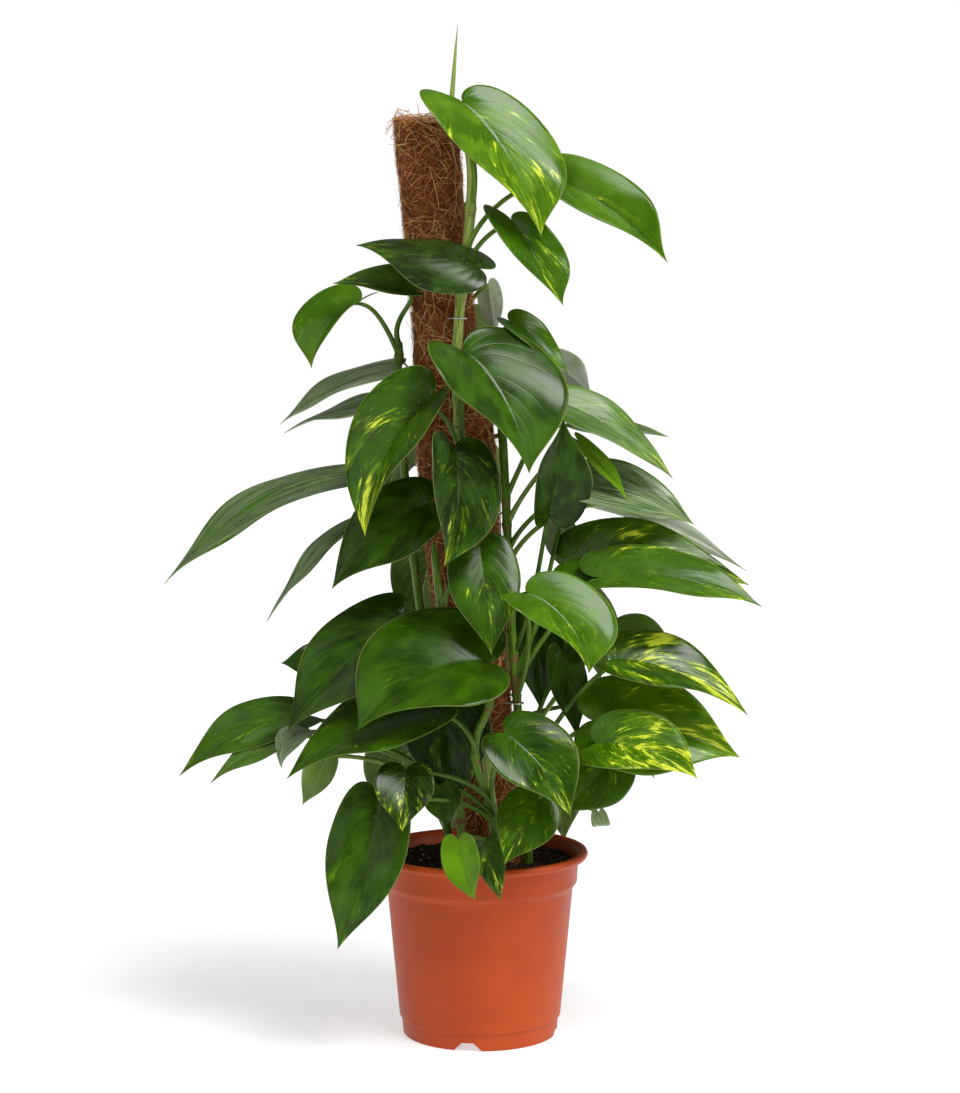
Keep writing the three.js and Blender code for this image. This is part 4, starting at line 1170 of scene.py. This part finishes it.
def petiole_skin(leaf):
    """The stalk leaves the stem upwards and outwards and runs into the blade from behind."""
    start = stem_point(leaf.stem, leaf.height)
    reach = np.linalg.norm(start - leaf.start)
    axis = pole_axis(start[2])
    leave = start + unit(start - axis) * PETIOLE["lean"] * reach
    leave[2] += PETIOLE["rise"] * reach
    back = min(PETIOLE["back"] * reach, PETIOLE["back_most"])
    arrive = leaf.start - leaf.along * back - leaf.up * back
    grip = leaf.points(np.array(PETIOLE["grip"]), np.array(0.0))
    t = np.linspace(0, 1, PETIOLE["steps"])
    path = bezier(start, leave, arrive, grip, t)
    slimmed = 1.25 - 0.35 * t - 0.55 * smooth(t, 0.8, 1.0)
    foot = 1 + 0.25 * np.exp(-((t / 0.09) ** 2))
    return sweep(path, PETIOLE["radius"] * slimmed * foot, PETIOLE["sides"], PETIOLE["groove"])


# ---- stems ----
def spline(points, step):
    """A smooth path through points."""
    points = np.asarray(points, float)
    gaps = np.linalg.norm(np.diff(points, axis=0), axis=1)
    at = np.concatenate([[0], np.cumsum(gaps)])
    slopes = np.gradient(points, at, axis=0)
    spots = np.linspace(0, at[-1], round(at[-1] / step) + 1)
    made = []
    for spot in spots:
        i = min(int(np.searchsorted(at, spot, side="right")) - 1, len(points) - 2)
        gap = at[i + 1] - at[i]
        t = (spot - at[i]) / gap
        made.append(
            (2 * t**3 - 3 * t**2 + 1) * points[i] + (t**3 - 2 * t**2 + t) * gap * slopes[i]
            + (3 * t**2 - 2 * t**3) * points[i + 1] + (t**3 - t**2) * gap * slopes[i + 1]
        )
    return np.array(made)


def build_stem(mould, name, leaves):
    radius, points = STEMS[name]
    path = spline([place(p) for p in points], STEM["step"])
    tone, bark = STEM_TONES[name]
    radii = np.full(len(path), float(radius))
    browned = np.full(len(path), bark)
    for leaf in leaves:
        above = path[:, 2] - leaf.height
        radii += NODE["swell"] * np.exp(-((above / NODE["reach"]) ** 2))
        browned += NODE["bark"] * np.exp(-(((above + NODE["bark_below"]) / NODE["bark_reach"]) ** 2))
    radii *= 1 + STEM["waver"] * np.sin(path[:, 2] / STEM["waver_pace"])
    to_top = np.linalg.norm(path - path[-1], axis=1)
    radii *= 1 - STEM_TAPER["share"] * (1 - smooth(to_top, 0.0, STEM_TAPER["length"]))
    skin, faces, spots = sweep(path, radii, STEM["sides"], STEM["groove"])
    values = np.empty((len(skin), 4))
    rings = np.concatenate([[browned[0]], np.repeat(browned, STEM["sides"]), [browned[-1]]])
    values[:] = [tone, 0, 0, 0.37]
    values[:, 2] = rings
    mould.add(skin, faces, 2, spots, values)
    for leaf in leaves:
        build_root(mould, stem_point(name, leaf.height - ROOT["below"]), leaf.chance)


def build_root(mould, start, chance):
    """A short clinging root from a node into the pole."""
    axis = pole_axis(start[2])
    inward = unit(axis - start)
    side = np.cross([0, 0, 1], inward) * (ROOT["aside"] if chance > 0.5 else -ROOT["aside"])
    drop = np.array([0, 0, -ROOT["drop"] - ROOT["more"] * chance])
    hang, turn_in = start + side + drop * 0.3, start + side + drop + inward * 5
    t = np.linspace(0, 1, ROOT["steps"])
    path = bezier(start, hang, turn_in, start + inward * ROOT["into"] + drop, t)
    skin, faces, spots = sweep(path, np.linspace(*ROOT["radii"], ROOT["steps"]), ROOT["sides"])
    mould.add(skin, faces, 2, spots, (0.5, 0, 0.95, chance))


def build_spike(mould):
    """The rolled young leaf at the top of the front stem."""
    foot, tip = place(SPIKE["foot"]), place(SPIKE["tip"])
    t = np.linspace(0, 1, SPIKE["steps"])[:, None]
    path = foot * (1 - t) + tip * t
    radii = SPIKE["radius"] * np.clip(1.05 - t[:, 0] ** 1.6, 0.06, 1)
    skin, faces, spots = sweep(path, radii, SPIKE["sides"], SPIKE["groove"])
    mould.add(skin, faces, 2, spots, SPIKE["look"])


def build_vines():
    materials = [leaf_top(), leaf_underside(), leaf_stalk()]
    leaves = [Leaf(row, number) for number, row in enumerate(LEAVES)]
    for name in STEMS:
        own = [leaf for leaf in leaves if leaf.stem == name]
        mould = Mould()
        build_stem(mould, name, own)
        for leaf in own:
            points, faces, finish, spots = blade_skin(leaf)
            mould.add(points, faces, finish, spots, (*leaf.look, leaf.chance))
            points, faces, spots = petiole_skin(leaf)
            mould.add(points, faces, 2, spots, (0.2 + 0.6 * leaf.look[0], 0, 0.05, leaf.chance))
        if name == "front":
            build_spike(mould)
        finish_piece(mould.piece(name + "_foliage", materials), ["vine_" + name])


# ---- the studio ----
def build_floor():
    radius, bottom, top = FLOOR["radius"], FLOOR["bottom"], FLOOR["top"]
    points, faces = lathe([[0, bottom], [radius, bottom], [radius, top], [0, top]], FLOOR["segments"])
    mould = Mould()
    mould.add(points, faces, 0, points[:, :2] / 1000, NO_LOOK)
    mould.piece("floor", [studio_floor()], 30)


def studio_light(name, where, strength, soft):
    """A large soft lamp, so far off that it lights the floor evenly."""
    light = bpy.data.lights.new(name, "SUN")
    light.energy = strength
    light.angle = math.radians(soft)
    lamp = stand(name, light)
    lamp.location = where
    lamp.rotation_euler = (-Vector(where)).to_track_quat("-Z", "Y").to_euler()


def build_light():
    world = bpy.data.worlds.new("studio")
    bpy.context.scene.world = world
    world.use_nodes = True
    tree = world.node_tree
    sky = tree.nodes["Background"]
    seen = tree.nodes.new("ShaderNodeLightPath").outputs["Is Camera Ray"]
    level = tree.nodes.new("ShaderNodeMapRange")
    level.inputs["To Min"].default_value = ROOM_LIGHT
    tree.links.new(seen, level.inputs["Value"])
    tree.links.new(level.outputs["Result"], sky.inputs["Strength"])
    sky.inputs["Color"].default_value = (1, 1, 1, 1)
    for name, (where, strength, soft) in LAMPS.items():
        studio_light(name, where, strength, soft)


def build_camera():
    data = bpy.data.cameras.new("front_view")
    data.lens = LENS
    data.sensor_width = SENSOR
    data.clip_end = VIEW_END
    camera = stand("front_view", data)
    camera.location = (0, -EYE["distance"] * MM, EYE["height"] * MM)
    camera.rotation_euler = (math.radians(90 - PITCH), 0, 0)
    bpy.context.scene.camera = camera


def paint_stake():
    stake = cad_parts["pole_stake"]
    stake.data.materials.clear()
    stake.data.materials.append(stake_wood())


build_camera()
build_light()
build_floor()
build_pot()
build_soil(soil_dark(), soil_grit())
build_coir()
build_pins()
build_vines()
paint_stake()
bpy.context.scene.view_settings.view_transform = "Standard"
